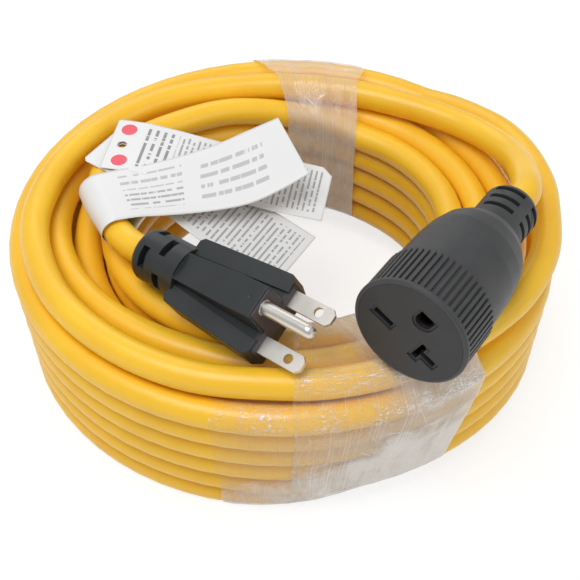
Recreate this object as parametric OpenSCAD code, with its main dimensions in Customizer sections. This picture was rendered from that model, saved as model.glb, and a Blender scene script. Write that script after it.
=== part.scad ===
// Coiled extension cord for a shore power hook-up: a three-core jacketed cord wound in a hand coil,
// a moulded plug with two in-line blades and a ground pin, and a moulded round connector.
// Millimetres. Origin on the surface that the coil lies on, at the middle of the coil. +Z up.

/* [Cord] */
// Outside diameter of the jacket
cord_d = 10.8; // [10:0.1:11.2]
// Diameter of one insulated conductor
conductor_d = 3.4; // [3:0.1:3.6]
// Diameter of the bare stranded copper
copper_d = 2.3; // [2:0.1:2.5]
// Clearance round the cord where it enters a moulded grip
cord_fit = 0.15; // [0.1:0.05:0.4]

/* [Coil] */
// Mean radius of the outermost turns, on the cord's centre line
coil_r = 94.75; // [90:0.25:100]
// How much longer than its mean the coil's half width is, and how much shorter its half depth is
coil_oval = 3.25; // [0:0.25:5]
// Turns on top of each other
turns_high = 6; // [3:1:6]
// Turns side by side
turns_across = 4; // [2:2:4]
// Clear gap between turns that lie on or beside each other
turn_gap = 0.6; // [0.55:0.05:0.8]
// Inward lean of the front of the pile, per millimetre of height
front_lean = 0.15; // [0:0.01:0.2]
// Outward lean of the back of the pile, per millimetre of height
back_lean = 0.15; // [0:0.01:0.2]
// Angle over which a turn steps to the next level or the next ring
step_span = 80; // [70:1:85]

/* [Plug] */
// Distance between the centres of the two blades
blade_spacing = 18.26; // [18.2:0.02:18.3]
// Width of a blade
blade_w = 6.35; // [6.2:0.05:6.5]
// Thickness of a blade
blade_t = 1.5; // [1.4:0.05:1.6]
// Length of a blade outside the face
blade_l = 17.6; // [16:0.1:18.3]
// Diameter of the hole in a blade
blade_hole_d = 3.5; // [3:0.1:4]
// Distance from the face to the centre of the hole in a blade
blade_hole_x = 11.7; // [10.5:0.1:12.5]
// Diameter of the ground pin
ground_d = 4.8; // [4.7:0.02:4.85]
// Length of the ground pin outside the face
ground_l = 21; // [19:0.5:22]
// Distance from the line of the blades to the centre of the ground pin
ground_offset = 11.9; // [11.5:0.1:12.1]
// Length of the plug's body behind its face
plug_l = 41; // [38:0.5:46]
// Width of the plug's body at its face
plug_w = 31.6; // [30:0.2:36]
// Width of the plug's body at its back
plug_back_w = 26; // [23:0.5:28]
// Height of the side wings above the line of the blades
wing_h = 4.8; // [4.6:0.1:6]
// Depth of the grooves between the wings and the raised panel
groove_depth = 1.2; // [0.6:0.1:1.4]
// Depth of the body below the line of the blades
plug_depth = 7.4; // [6.5:0.1:9]
// Width of the raised panel over the ground pin, at the face
panel_w = 13; // [12:0.5:15]
// Width of the raised panel at its back
panel_back_w = 10.4; // [9:0.2:12]
// Length of the plug's cord grip
plug_grip_l = 19; // [16:0.5:24]
// Outside diameter of the plug's cord grip
plug_grip_d = 19.6; // [17:0.2:21]

/* [Connector] */
// Diameter of the connector at its face
conn_d = 40.4; // [38:0.2:42]
// Distance from the line of the slots to the middle of the round face
face_shift = 3.6; // [2.5:0.1:4.5]
// Length of the smooth rim in front of the grip ribs
rim_l = 1.6; // [1:0.1:4]
// Length of the grip ribs
rib_l = 16.5; // [14:0.5:20]
// Number of grip ribs round the connector
rib_count = 56; // [36:4:64]
// Width of the groove between two ribs
rib_groove_w = 1; // [0.7:0.1:1.2]
// Depth of the groove between two ribs
rib_groove_depth = 0.8; // [0.4:0.1:0.9]
// Length from the face to the end of the dome
dome_l = 56; // [54:0.5:62]
// Length of the connector's cord grip
conn_grip_l = 17.5; // [15:0.5:24]
// Outside diameter of the connector's cord grip
conn_grip_d = 20; // [18:0.2:22]
// Length of a slot in the face
slot_l = 7.5; // [7:0.1:8]
// Width of a slot in the face
slot_w = 2.1; // [1.9:0.1:2.4]
// Thickness of the insert's front wall
face_wall = 2.4; // [1.8:0.1:3]

/* [Contacts] */
// Thickness of the brass that the contacts are bent from
contact_t = 0.6; // [0.5:0.05:0.8]
// Length of a contact's leaves
contact_l = 13; // [11:0.5:14]
// Outside diameter of a crimp barrel
crimp_d = 4.2; // [3.9:0.1:4.6]
// Length of a crimp barrel
crimp_l = 6; // [4:0.5:7]

/* [Wrap and tags] */
// Thickness of a wrap of stretch film
film_t = 0.3; // [0.2:0.05:0.5]
// Clearance between the film and the cord
film_fit = 0.6; // [0.3:0.1:1]
// Thickness of the label and the tags
tag_t = 0.4; // [0.3:0.05:0.6]
// Length of the label's flag, from the middle of the cord
label_l = 78; // [60:1:82]
// Width of the label
label_w = 26; // [18:1:27]
// Inside diameter of the label's loop round the cord
label_loop_d = 14.4; // [14.2:0.2:15]
// Rise of the label's loop over the top turns
label_rise = 13.2; // [13:0.1:13.4]
// Length of a tag
tag_l = 91; // [75:1:95]
// Width of a tag
tag_w = 28; // [20:1:28]
// Distance from a tag's end to the centre of its hole
tag_hole_x = 11; // [8:0.5:13]
// Diameter of the hole in a tag
tag_hole_d = 3; // [2:0.5:4]
// How far the dotted tag's end hangs below its hole
dotted_droop = 12.5; // [9:0.5:13]
// How far the plain tag's end hangs below its hole
plain_droop = 16; // [15:0.5:20]

/* [Fits] */
// Clearance between moulded pieces that fill each other
mould_fit = 0.05; // [0.03:0.01:0.1]

/* [Hidden] */

$fn = 48;
tiny = 0.01;
jacket_colour = [0.97, 0.72, 0.22];
plug_colour = [0.17, 0.18, 0.19];
connector_colour = [0.26, 0.26, 0.27];
bridge_colour = [0.32, 0.28, 0.31];
blade_colour = [0.82, 0.82, 0.80];
brass_colour = [0.80, 0.65, 0.32];
copper_colour = [0.75, 0.42, 0.25];
film_colour = [0.93, 0.92, 0.88, 0.35];
tag_colour = [0.95, 0.95, 0.94];

// ---- the coil's winding ----
cord_r = cord_d / 2;
pitch = cord_d + turn_gap;
base_z = 0.4 * cord_d;                       // the lowest turns are cut flat a tenth of the diameter deep
top_z = base_z + (turns_high - 1) * pitch;   // centre line of the top level
inner_r = coil_r - (turns_across - 1) * pitch;
end_angle = 10;                              // where the outermost top turn ends, seen from above
rings_per_turn = 24;
coil_sides = 6;
first_turn = turns_across * step_span;
end_early = 50;                              // the outermost top turn stops this much short of `end_angle`
last_turn = 360 * (turns_high * turns_across - 1) - end_early;

function total(v) = v * [for (x = v) 1];
function smooth(t) = let(c = min(1, max(0, t))) c * c * (3 - 2 * c);
function lean(a) = front_lean * (1 - sin(a)) / 2 - back_lean * (1 + sin(a)) / 2;

// Each ring of turns has its own stretch of angle in which it steps up or down, ahead of the ring inside it.
// The innermost ring has no turn on the lowest level, and steps down to it just before it moves outward.
function step_start(s) = (turns_across - 1 - s) * step_span;
function ring_start(s) = s * turns_high - (s > 0 ? 1 : 0);
function step_ahead(s, k) = s == 0 && k == turns_high - 1 ? step_span : 0;
function steps_done(t, s) =
    total([for (k = [1 : turns_high - 1])
           smooth((t - step_start(s) + step_ahead(s, k) - 360 * (ring_start(s) + k)) / step_span)]);
function level_at(t) =
    turns_high - 1 + total([for (s = [0 : turns_across - 1]) (s % 2 == 0 ? -1 : 1) * steps_done(t, s)]);
function ring_at(t) =
    total([for (s = [1 : turns_across - 1])
           smooth((t - step_start(s - 1) - 360 * ring_start(s)) / step_span + 0.5)]);
function oval(r, a, z) = [(r + coil_oval) * cos(a), (r - coil_oval) * sin(a), z];
function coil_point(t) =
    let(a = end_angle - t, z = base_z + level_at(t) * pitch)
    oval(inner_r + ring_at(t) * pitch - lean(a) * (top_z - z), a, z);

function unit(v) = v / norm(v);
coil_steps = round((last_turn - first_turn) / 360 * rings_per_turn);
coil_mid = [for (i = [0 : coil_steps]) coil_point(first_turn + (last_turn - first_turn) * i / coil_steps)];
// Both ends run straight for one diameter of the cord.
degrees = 180 / PI;
coil_start = coil_point(first_turn - cord_d / inner_r * degrees);
coil_end = coil_point(last_turn + cord_d / coil_r * degrees);
coil_start_dir = unit(coil_start - coil_mid[0]);
coil_end_dir = unit(coil_end - coil_mid[coil_steps]);
coil_path = concat([coil_start], coil_mid, [coil_end]);

least_gap = min([for (i = [0 : coil_steps - rings_per_turn / 2])
                 min([for (j = [i + rings_per_turn / 2 : coil_steps + 2])
                      norm(coil_path[i] - coil_path[j])])]) - cord_d;

function path_length(p) = total([for (i = [1 : len(p) - 1]) norm(p[i] - p[i - 1])]);

// ---- where the plug and the connector lie ----
spread = coil_r / 94.75;               // the poses and the routes are laid out for this radius, and follow it
plug_rise = 22.4;                      // of the line of the blades at the face, over the top level's centre line
plug_at = [-2.3 * spread, -67.6 * spread, top_z + plug_rise];
plug_turn = [24.6, -6.9, -40.2];
conn_rise = 34.3;
conn_at = [37.5 * spread, -84.6 * spread, top_z + conn_rise];
conn_turn = [-28.3, -3.8, -123.9];

function turned(v, r) =
    let(x1 = v.x, y1 = v.y * cos(r.x) - v.z * sin(r.x), z1 = v.y * sin(r.x) + v.z * cos(r.x),
        x2 = x1 * cos(r.y) + z1 * sin(r.y), z2 = -x1 * sin(r.y) + z1 * cos(r.y))
    [x2 * cos(r.z) - y1 * sin(r.z), x2 * sin(r.z) + y1 * cos(r.z), z2];
function on_plug(v) = plug_at + turned(v, plug_turn);
function on_conn(v) = conn_at + turned(v, conn_turn);

grip_seat = 5;                         // of each grip's length that the cord's end stops short of the body
plug_cord_x = -(plug_l + grip_seat);   // the cord's end inside the plug
conn_cord_x = -(dome_l - 4);           // the cord's end inside the connector
plug_exit_x = -(plug_l + plug_grip_l);
conn_exit_x = -(dome_l + conn_grip_l);

// ---- the free stretches: points chosen by hand, each as x, y and the rise over the top level's centre line ----
plug_route = [[-64.5, -9, 13], [-68.5, 4, 12.3], [-67.5, 19, 11.6], [-59.5, 33, 11.4], [-42, 44.5, 11.5],
              [-22, 54, 9.9], [0, 57.5, 6], [20, 55, 2.1]];
conn_route = [[70.5, 64.6, 2.4], [80, 54.6, 5], [88.3, 43.5, 7.2], [94.7, 29, 8.8], [98.2, 12, 10],
              [97.9, -3, 10.8], [94.4, -25, 11], [84.5, -44.3, 10.9], [72, -57.4, 10.6], [57.7, -67.9, 10.3], [42, -76.8, 10.2],
              [21, -82.9, 10.2], [0, -84.3, 10.2], [-31.6, -80.5, 10.4], [-59.5, -66.2, 10.4], [-80.5, -43.8, 10.6],
              [-91, -15.2, 11], [-89, 11, 11], [-78.5, 33.5, 11.2], [-63, 50, 11.2], [-45.5, 60.8, 11.2],
              [-24, 66.8, 11.2], [0, 68.6, 11.2], [23.3, 65.4, 11.2], [43, 59, 11.2], [60, 51, 11.3],
              [75, 40, 12.2], [84.5, 25, 16], [88.2, 8, 22.5]];

function over_top(p) = [for (q = p) [q.x * spread, q.y * spread, top_z + q.z]];
// A smooth curve through the points, with `cuts` pieces between each two.
function curve(p, cuts) = let(n = len(p) - 1)
    concat([for (i = [0 : n - 1], j = [0 : cuts - 1])
            let(t = j / cuts, a = p[max(0, i - 1)], b = p[i], c = p[i + 1], d = p[min(n, i + 2)])
            0.5 * (2 * b + (c - a) * t + (2 * a - 5 * b + 4 * c - d) * t * t
                   + (3 * b - a - 3 * c + d) * t * t * t)],
           [p[n]]);
free_sides = 10;
end_run = 2.5;                         // how far a free stretch runs straight out of the coil's end
plug_inside = [on_plug([plug_cord_x, 0, 0]), on_plug([plug_exit_x, 0, 0]), on_plug([plug_exit_x - cord_d, 0, 0])];
conn_inside = [on_conn([conn_exit_x - cord_d, 0, face_shift]), on_conn([conn_exit_x, 0, face_shift]),
               on_conn([conn_cord_x, 0, face_shift])];
plug_free = concat([plug_inside[0]],
                   curve(concat([plug_inside[1], plug_inside[2]], over_top(plug_route),
                                [coil_start + coil_start_dir * end_run]), 1),
                   [coil_start]);
conn_free = concat([coil_end],
                   curve(concat([coil_end + coil_end_dir * end_run], over_top(conn_route),
                                [conn_inside[0], conn_inside[1]]), 1),
                   [conn_inside[2]]);

echo(str("least gap between turns, mm: ", least_gap));
echo(str("turns in the coil: ", (last_turn - first_turn) / 360));
echo(str("cord length, mm: ", path_length(coil_path) + path_length(plug_free) + path_length(conn_free)));

// ---- film ----
film_front_from = -105;
film_front_over = -85;                 // from here on, the film also goes over the loose turn on top
film_front_to = -51.5;
film_back_from = 72;
film_back_to = 97;
// The loose turn under the film: how far inward of the outermost turns, how far above them, and its spread
front_loose = [5.7, 10.3, 2];
back_loose = [22.6, 11.2, 2.6];

// A solid through closed rings of points, each ring with as many points as the first.
module loft(rings) {
    n = len(rings) - 1;
    m = len(rings[0]);
    pts = [for (r = rings, q = r) q];
    faces = concat(
        [for (i = [0 : n - 1], k = [0 : m - 1]) let(a = i * m + k, b = i * m + (k + 1) % m) [a, b, b + m]],
        [for (i = [0 : n - 1], k = [0 : m - 1]) let(a = i * m + k, b = i * m + (k + 1) % m) [a, b + m, a + m]],
        [[for (k = [m - 1 : -1 : 0]) k]],
        [[for (k = [0 : m - 1]) n * m + k]]);
    polyhedron(points = pts, faces = faces, convexity = 10);
}

// A tube swept along points, with rings square to the path. Where floors are given, points that would lie lower
// than their ring's floor are pressed up to it.
module sweep(path, d, sides, floors) {
    n = len(path) - 1;
    dirs = [for (i = [0 : n]) unit(path[min(n, i + 1)] - path[max(0, i - 1)])];
    loft([for (i = [0 : n])
          [for (k = [0 : sides - 1])
           let(side = unit(cross(dirs[i], [0, 0, 1])), up = cross(side, dirs[i]), a = (k + 0.5) * 360 / sides + 90,
               q = path[i] + d / 2 * (cos(a) * side + sin(a) * up))
           [q.x, q.y, len(floors) > 0 ? max(floors[i], q.z) : q.z]]]);
}

// Under a wrap of film, the lowest turns lie on the film, and elsewhere on the surface below.
function near(a, from, to) = a > from - 360 / rings_per_turn - 2 && a < to + 360 / rings_per_turn + 2;
function floor_at(p) =
    let(a = atan2(p.y, p.x))
    near(a, film_front_from, film_front_to) || near(a, film_back_from, film_back_to) ? film_t + mould_fit : 0;

module cord_coil() {
    color(jacket_colour)
        sweep(coil_path, cord_d, coil_sides, [for (p = coil_path) floor_at(p)]);
}

module cord_plug_end() {
    color(jacket_colour)
        sweep(plug_free, cord_d, free_sides, []);
}

module cord_connector_end() {
    color(jacket_colour)
        sweep(conn_free, cord_d, free_sides, []);
}

// ---- shared small shapes ----
wire_sides = 8;

// A ring segment about the X axis, for windows and grooves in a cord grip.
module arc_cut(x, w, r_in, r_out, from, span) {
    translate([x, 0, 0])
        rotate([0, 90, 0])
            rotate([0, 0, from])
                rotate_extrude(angle = span)
                    translate([r_in, -w / 2])
                        square([r_out - r_in, w]);
}

// ---- plug, in its own frame: +X out of the face, the blades along Y, the ground pin towards +Z ----
module in_plug() {
    translate(plug_at)
        rotate(plug_turn)
            children();
}

panel_h = ground_offset + ground_d / 2 + 1.5;
panel_mid_h = panel_h - 1.2;           // the panel's top falls slowly at first, and then faster
panel_mid_x = 10;
panel_back_h = plug_grip_d / 2 - 1.8;
corner_cut = 2.2;
blade_outer = (blade_spacing + blade_w) / 2;
bridge_l = 5;
bridge_border = 1.2;
plate_l = 1.5;                         // the bridge's wide front plate
crimp_x = -14;                         // front ends of the crimp barrels
ground_crimp_z = 7.3;                  // the ground crimp lies lower than its pin

module plug_outline() {
    intersection() {
        translate([0, 0, -plug_depth])
            linear_extrude(height = plug_depth + wing_h)
                polygon([[0, plug_w / 2 - corner_cut], [-corner_cut, plug_w / 2], [-plug_l + 1.5, plug_back_w / 2],
                         [-plug_l, plug_back_w / 2 - 1.5], [-plug_l, -plug_back_w / 2 + 1.5],
                         [-plug_l + 1.5, -plug_back_w / 2], [-corner_cut, -plug_w / 2],
                         [0, -plug_w / 2 + corner_cut]]);
        rotate([90, 0, 90])
            translate([0, 0, -plug_l])
                linear_extrude(height = plug_l)
                    polygon([[plug_w / 2 + 1, -plug_depth + 3.4], [plug_w / 2 - 2.4, -plug_depth],
                             [-plug_w / 2 + 2.4, -plug_depth], [-plug_w / 2 - 1, -plug_depth + 3.4],
                             [-plug_w / 2 - 1, wing_h - 1.2], [-plug_w / 2 + 0.6, wing_h],
                             [plug_w / 2 - 0.6, wing_h], [plug_w / 2 + 1, wing_h - 1.2]]);
    }
}

module plug_panel() {
    intersection() {
        linear_extrude(height = panel_h)
            polygon([[0, panel_w / 2], [-plug_l, panel_back_w / 2],
                     [-plug_l, -panel_back_w / 2], [0, -panel_w / 2]]);
        rotate([90, 0, 0])
            translate([0, 0, -panel_w])
                linear_extrude(height = 2 * panel_w)
                    polygon([[0, 0], [0, panel_h - 0.8], [-0.8, panel_h], [-panel_mid_x, panel_mid_h],
                             [-plug_l + 1, panel_back_h], [-plug_l, panel_back_h - 1], [-plug_l, 0]]);
        rotate([90, 0, 90])
            translate([0, 0, -plug_l])
                linear_extrude(height = plug_l)
                    polygon([[panel_w / 2 + 0.4, 0], [panel_w / 2 - 0.5, panel_h], [-panel_w / 2 + 0.5, panel_h],
                             [-panel_w / 2 - 0.4, 0]]);
    }
}

// The grooves between the panel and the wings get wider towards the face.
module plug_groove(side) {
    translate([0, 0, wing_h - groove_depth])
        linear_extrude(height = groove_depth + 1)
            polygon([[tiny, side * (panel_w / 2)], [tiny, side * (panel_w / 2 + 3)],
                     [-plug_l - tiny, side * (panel_back_w / 2 + 1)], [-plug_l - tiny, side * (panel_back_w / 2)]]);
}

module grip_windows(x_end, length, d, rows, count, span, stagger) {
    gap = length / (rows + 0.5);
    for (row = [0 : rows - 1], i = [0 : count - 1])
        arc_cut(x_end + gap * (row + 0.75), gap * 0.42, cord_r + 1.1, d / 2 + 1,
                360 / count * (i + stagger * (row % 2)), span);
}

module plug_grip() {
    rotate([0, 90, 0])
        translate([0, 0, plug_exit_x])
            rotate_extrude()
                polygon([[0, 0], [plug_grip_d / 2 - 2, 0], [plug_grip_d / 2 - 0.6, 0.6], [plug_grip_d / 2, 2],
                         [plug_grip_d / 2, plug_grip_l + 1.5], [0, plug_grip_l + 1.5]]);
}

// The bridge holds the blades and the pin while the body is moulded round it.
bridge_proud = 0.3;                    // the bridge's face stands out from the moulding
pin_root_r = ground_d / 2 + 0.4;       // the pin's shoulder, which ends flush with the bridge's face

module bridge_plate(extra) {
    w = blade_outer + bridge_border + extra;
    h = ground_offset + pin_root_r + 0.6 + extra;
    translate([-w, -blade_t * 2 - extra])
        square([2 * w, blade_t * 2 + wing_h - 1.2 + 2 * extra]);
    translate([-panel_w / 2 + 1.2 - extra, 0])
        square([panel_w - 2.4 + 2 * extra, h]);
}

module bridge_block(extra) {
    w = blade_outer + bridge_border - 0.5 + extra;
    r = pin_root_r + 0.6 + extra;
    translate([-w, -blade_t - 0.5 - extra])
        square([2 * w, 2 * blade_t + 1 + 2 * extra]);
    translate([-r, 0])
        square([2 * r, ground_offset]);
    translate([0, ground_offset])
        circle(r = r);
}

module bridge_solid(extra, proud) {
    rotate([90, 0, 90]) {
        translate([0, 0, -plate_l - extra])
            linear_extrude(height = plate_l + extra + proud)
                bridge_plate(extra);
        translate([0, 0, -bridge_l - extra])
            linear_extrude(height = bridge_l + extra)
                bridge_block(extra);
    }
}

core_r = conductor_d / sqrt(3) * 1.03;  // from the cord's middle to the middle of a conductor
wire_room = 0.4;
cable_room = core_r + conductor_d / 2 + wire_room;
chamber_low = core_r / 2 + conductor_d / 2 + wire_room;
back_of_crimps = crimp_x - crimp_l - 5;

// The room in the body for the crimps and for the conductors behind them.
module plug_chamber() {
    side = blade_outer + 0.3;
    up = ground_crimp_z + crimp_d / 2 + 0.4;
    translate([0, 0, -chamber_low])
        linear_extrude(height = chamber_low + crimp_d / 2 + wire_room)
            polygon([[-bridge_l + tiny, side], [back_of_crimps, side], [plug_cord_x, cable_room + 1],
                     [plug_cord_x, -cable_room - 1], [back_of_crimps, -side], [-bridge_l + tiny, -side]]);
    translate([0, ground_d / 2 + 0.3, 0])
        rotate([90, 0, 0])
            linear_extrude(height = ground_d + 0.6)
                polygon([[-bridge_l + tiny, -crimp_d / 2], [-bridge_l + tiny, panel_h - 1.5],
                         [-bridge_l - 1.6, panel_h - 1.8], [crimp_x + 1, up], [back_of_crimps, up],
                         [-plug_l + 1, cable_room + 1.4], [plug_cord_x, cable_room],
                         [plug_cord_x, -crimp_d / 2]]);
}

module plug_body() {
    color(plug_colour)
        in_plug()
            difference() {
                union() {
                    difference() {
                        plug_outline();
                        plug_groove(1);
                        plug_groove(-1);
                    }
                    plug_panel();
                    plug_grip();
                }
                bridge_solid(mould_fit, 1);
                plug_chamber();
                rotate([0, 90, 0])
                    translate([0, 0, plug_exit_x - 1])
                        cylinder(d = cord_d + 2 * cord_fit, h = plug_grip_l - grip_seat + 1);
                grip_windows(plug_exit_x, plug_grip_l - 1, plug_grip_d, 2, 4, 48, 0.5);
            }
}

module plug_bridge() {
    color(bridge_colour)
        in_plug()
            difference() {
                bridge_solid(0, bridge_proud);
                for (side = [-1, 1])
                    translate([-bridge_l - 1, side * blade_spacing / 2 - blade_w / 2 - mould_fit,
                               -blade_t / 2 - mould_fit])
                        cube([bridge_l + 3, blade_w + 2 * mould_fit, blade_t + 2 * mould_fit]);
                translate([-bridge_l - 1, 0, ground_offset])
                    rotate([0, 90, 0])
                        cylinder(r = pin_root_r + mould_fit, h = bridge_l + 3);
            }
}

module crimp(x, y, z) {
    translate([x - crimp_l, y, z])
        rotate([0, 90, 0])
            difference() {
                cylinder(d = crimp_d, h = crimp_l + 0.4);
                translate([0, 0, -1])
                    cylinder(d = copper_d + 2 * mould_fit, h = crimp_l + 1);
            }
}

module line_blade(side) {
    tip = 1.6;
    color(blade_colour)
        in_plug() {
            difference() {
                translate([0, side * blade_spacing / 2, -blade_t / 2])
                    linear_extrude(height = blade_t)
                        polygon([[crimp_x, -1.6], [-bridge_l, -blade_w / 2], [blade_l - tip, -blade_w / 2],
                                 [blade_l, -blade_w / 2 + tip], [blade_l, blade_w / 2 - tip],
                                 [blade_l - tip, blade_w / 2], [-bridge_l, blade_w / 2], [crimp_x, 1.6]]);
                translate([blade_hole_x, side * blade_spacing / 2, -blade_t])
                    cylinder(d = blade_hole_d, h = 2 * blade_t);
                for (s = [-1, 1])       // the tip is thinned on both faces
                    translate([blade_l, 0, s * blade_t / 2])
                        rotate([0, s * 24, 0])
                            translate([-1.2, side * blade_spacing / 2 - blade_w, s > 0 ? 0 : -2])
                                cube([4, 2 * blade_w, 2]);
            }
            crimp(crimp_x, side * blade_spacing / 2, 0);
        }
}

module ground_pin() {
    strap_t = 1.2;
    strap_w = 3;
    color(blade_colour)
        in_plug() {
            difference() {
                translate([0, 0, ground_offset])
                    rotate([0, 90, 0])
                        rotate_extrude()
                            polygon([[0, -bridge_l], [pin_root_r, -bridge_l], [pin_root_r, bridge_proud],
                                     [ground_d / 2, bridge_proud], [ground_d / 2, ground_l - 2.4],
                                     [ground_d / 2 * 0.92, ground_l - 1.2], [ground_d / 2 * 0.66, ground_l - 0.3],
                                     [ground_d / 2 * 0.4, ground_l], [0, ground_l]]);
                // the fold of the rolled sheet stays open at the tip
                translate([ground_l - 3, -0.3, ground_offset - ground_d])
                    cube([4, 0.6, ground_d]);
            }
            // a strap steps down from the pin to its crimp
            translate([0, strap_w / 2, 0])
                rotate([90, 0, 0])
                    linear_extrude(height = strap_w)
                        polygon([[-bridge_l + tiny, ground_offset - 1.4], [-bridge_l + tiny, ground_offset + 1.4],
                                 [-bridge_l - strap_t, ground_offset + 1.4],
                                 [crimp_x + 3.4, ground_crimp_z + strap_t],
                                 [crimp_x, ground_crimp_z + strap_t / 2], [crimp_x, ground_crimp_z - strap_t / 2],
                                 [crimp_x + 3.4, ground_crimp_z - strap_t / 2]]);
            crimp(crimp_x, 0, ground_crimp_z);
        }
}

// The three conductors leave the jacket side by side and spread to their crimps.
function core_place(i) = core_r * [cos(90 + 120 * i), sin(90 + 120 * i)];
function core_route(x0, c, x1, e) =
    concat([[x0, c.x, c.y]],
           curve([[x0 + 2, c.x, c.y], [(x0 + x1) / 2, (c.x + e.x) / 2, (c.y + e.y) / 2], [x1 - 2, e.x, e.y]], 3),
           [[x1, e.x, e.y]]);
plug_ends = [[0, ground_crimp_z], [-blade_spacing / 2, 0], [blade_spacing / 2, 0]];
wire_bare = 2;

module plug_wire(i) {
    in_plug()
        sweep(core_route(plug_cord_x, core_place(i), crimp_x - crimp_l - wire_bare, plug_ends[i]),
              conductor_d, wire_sides, []);
}

module copper_end(x, y, z) {
    translate([x - crimp_l - wire_bare, y, z])
        rotate([0, 90, 0])
            cylinder(d = copper_d, h = crimp_l + wire_bare - 0.5);
}

// ---- connector, in its own frame: +X out of the face, the slots along Y, the ground slot towards +Z ----
module in_conn() {
    translate(conn_at)
        rotate(conn_turn)
            children();
}

insert_d = conn_d - 3;
insert_l = face_wall + contact_l + 3;
cavity_end = insert_l + 14;
conn_crimp_x = -(insert_l + 1.2);
chamber_h = 5.4;

module conn_shell() {
    rotate([0, 90, 0])
        rotate_extrude()
            polygon([[0, conn_exit_x], [conn_grip_d / 2 - 2.4, conn_exit_x],
                     [conn_grip_d / 2 - 0.7, conn_exit_x + 0.7], [conn_grip_d / 2, conn_exit_x + 2.4],
                     [conn_grip_d / 2, -dome_l + 1], [conn_d / 2 - 6.4, -dome_l + 4.6],
                     [conn_d / 2 - 3.9, -dome_l + 9], [conn_d / 2 - 2.3, -dome_l + 15],
                     [conn_d / 2 - 1.5, -dome_l + 22], [conn_d / 2 - 1, -rim_l - rib_l],
                     [conn_d / 2, -rim_l - rib_l + tiny], [conn_d / 2, -0.7], [conn_d / 2 - 0.7, 0], [0, 0]]);
}

module rib_grooves() {
    translate([-rim_l - rib_l, 0, 0])
        rotate([0, 90, 0])
            linear_extrude(height = rib_l)
                difference() {
                    circle(d = conn_d + 2);
                    polygon([for (i = [0 : rib_count - 1], k = [0 : 3])
                             let(r = conn_d / 2 - (k == 0 || k == 3 ? rib_groove_depth + 0.2 : 0.2),
                                 half = 180 / rib_count,
                                 g = rib_groove_w / conn_d * degrees,
                                 a = i * 2 * half + [-half + g - tiny, -half + g, half - g, half - g + tiny][k])
                             r * [cos(a), sin(a)]]);
                }
}

// The seat of the insert, the room for the conductors behind it, and the cord's bore.
module conn_cavity() {
    seat = insert_d / 2 + mould_fit;
    bore = cord_r + cord_fit;
    rotate([0, 90, 0])
        rotate_extrude()
            polygon([[0, conn_exit_x - 1], [bore, conn_exit_x - 1], [bore, conn_cord_x], [seat - 4.5, -cavity_end],
                     [seat - 4.5, -insert_l], [seat, -insert_l], [seat, 1], [0, 1]]);
}

module connector_body() {
    color(connector_colour)
        in_conn()
            translate([0, 0, face_shift])
                difference() {
                    conn_shell();
                    rib_grooves();
                    conn_cavity();
                    grip_windows(conn_exit_x, conn_grip_l - 1, conn_grip_d, 3, 4, 66, 0);
                }
}

slot_drop = 0.15;                      // the ground opening's round end leaves the pin this much more room below

// Round below and square above
module ground_slot(extra) {
    w = ground_d + 1;
    translate([0, -slot_drop])
        circle(d = w + 2 * extra);
    translate([-w / 2 - extra, -slot_drop])
        square([w + 2 * extra, w / 2 + slot_drop + extra]);
}

module tee_slot(extra) {
    translate([-slot_l / 2 - extra, -slot_w / 2 - extra])
        square([slot_l + 2 * extra, slot_w + 2 * extra]);
    translate([-slot_l / 2 - extra, -slot_l / 2 - extra])
        square([slot_w + 2 * extra, slot_l + 2 * extra]);
}

module line_slot(extra) {
    translate([-slot_l / 2 - extra, -slot_w / 2 - extra])
        square([slot_l + 2 * extra, slot_w + 2 * extra]);
}

module through_face(depth) {
    rotate([90, 0, 90])
        translate([0, 0, -depth])
            linear_extrude(height = depth + 1)
                children();
}

module connector_insert() {
    sunk = 0.5;                        // a shallow border round each slot
    border = 0.9;
    color(connector_colour)
        in_conn()
            difference() {
                translate([-insert_l, 0, face_shift])
                    rotate([0, 90, 0])
                        cylinder(d = insert_d, h = insert_l);
                through_face(face_wall + 1)
                    translate([-blade_spacing / 2, 0])
                        line_slot(0);
                through_face(sunk)
                    translate([-blade_spacing / 2, 0])
                        line_slot(border);
                through_face(face_wall + 1)
                    translate([blade_spacing / 2, 0])
                        tee_slot(0);
                through_face(sunk)
                    translate([blade_spacing / 2, 0])
                        tee_slot(border);
                through_face(face_wall + 1)
                    translate([0, ground_offset])
                        ground_slot(0);
                through_face(sunk)
                    translate([0, ground_offset])
                        ground_slot(border);
                translate([-insert_l - 1, -blade_spacing / 2 - slot_l / 2 - 0.6, -chamber_h / 2])
                    cube([insert_l + 1 - face_wall, slot_l + 1.2, chamber_h]);
                translate([-insert_l - 1, blade_spacing / 2 - slot_l / 2 - 0.6, -slot_l / 2 - 0.6])
                    cube([insert_l + 1 - face_wall, slot_l + 1.2, slot_l + 1.2]);
                translate([-insert_l - 1, 0, ground_offset])
                    rotate([0, 90, 0])
                        cylinder(d = ground_d + 2 * contact_t + 0.8, h = insert_l + 1 - face_wall);
            }
}

// Two leaves that grip a blade, joined at the back, with a crimp barrel behind.
module leaf_pair(w, gap, reach) {
    for (s = [-1, 1])
        translate([-face_wall - 0.2 - contact_l, -w / 2, s * (gap / 2 + contact_t / 2) - contact_t / 2])
            cube([contact_l, w, contact_t]);
    translate([-face_wall - 0.2 - contact_l, -w / 2, -gap / 2 - contact_t])
        cube([contact_t, w, gap + 2 * contact_t]);
    if (reach > 0)
        for (s = [-1, 1])              // lead-in lips that spread to the chamber's walls
            translate([-face_wall - 0.2 - contact_t, -w / 2, s > 0 ? gap / 2 : -gap / 2 - reach])
                cube([contact_t, w, reach]);
}

module tail() {
    back = -face_wall - 0.2 - contact_l;
    translate([conn_crimp_x - 0.4, -1.4, -contact_t / 2])
        cube([back - conn_crimp_x + 0.4 + contact_t, 2.8, contact_t]);
    crimp(conn_crimp_x, 0, 0);
}

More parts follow.
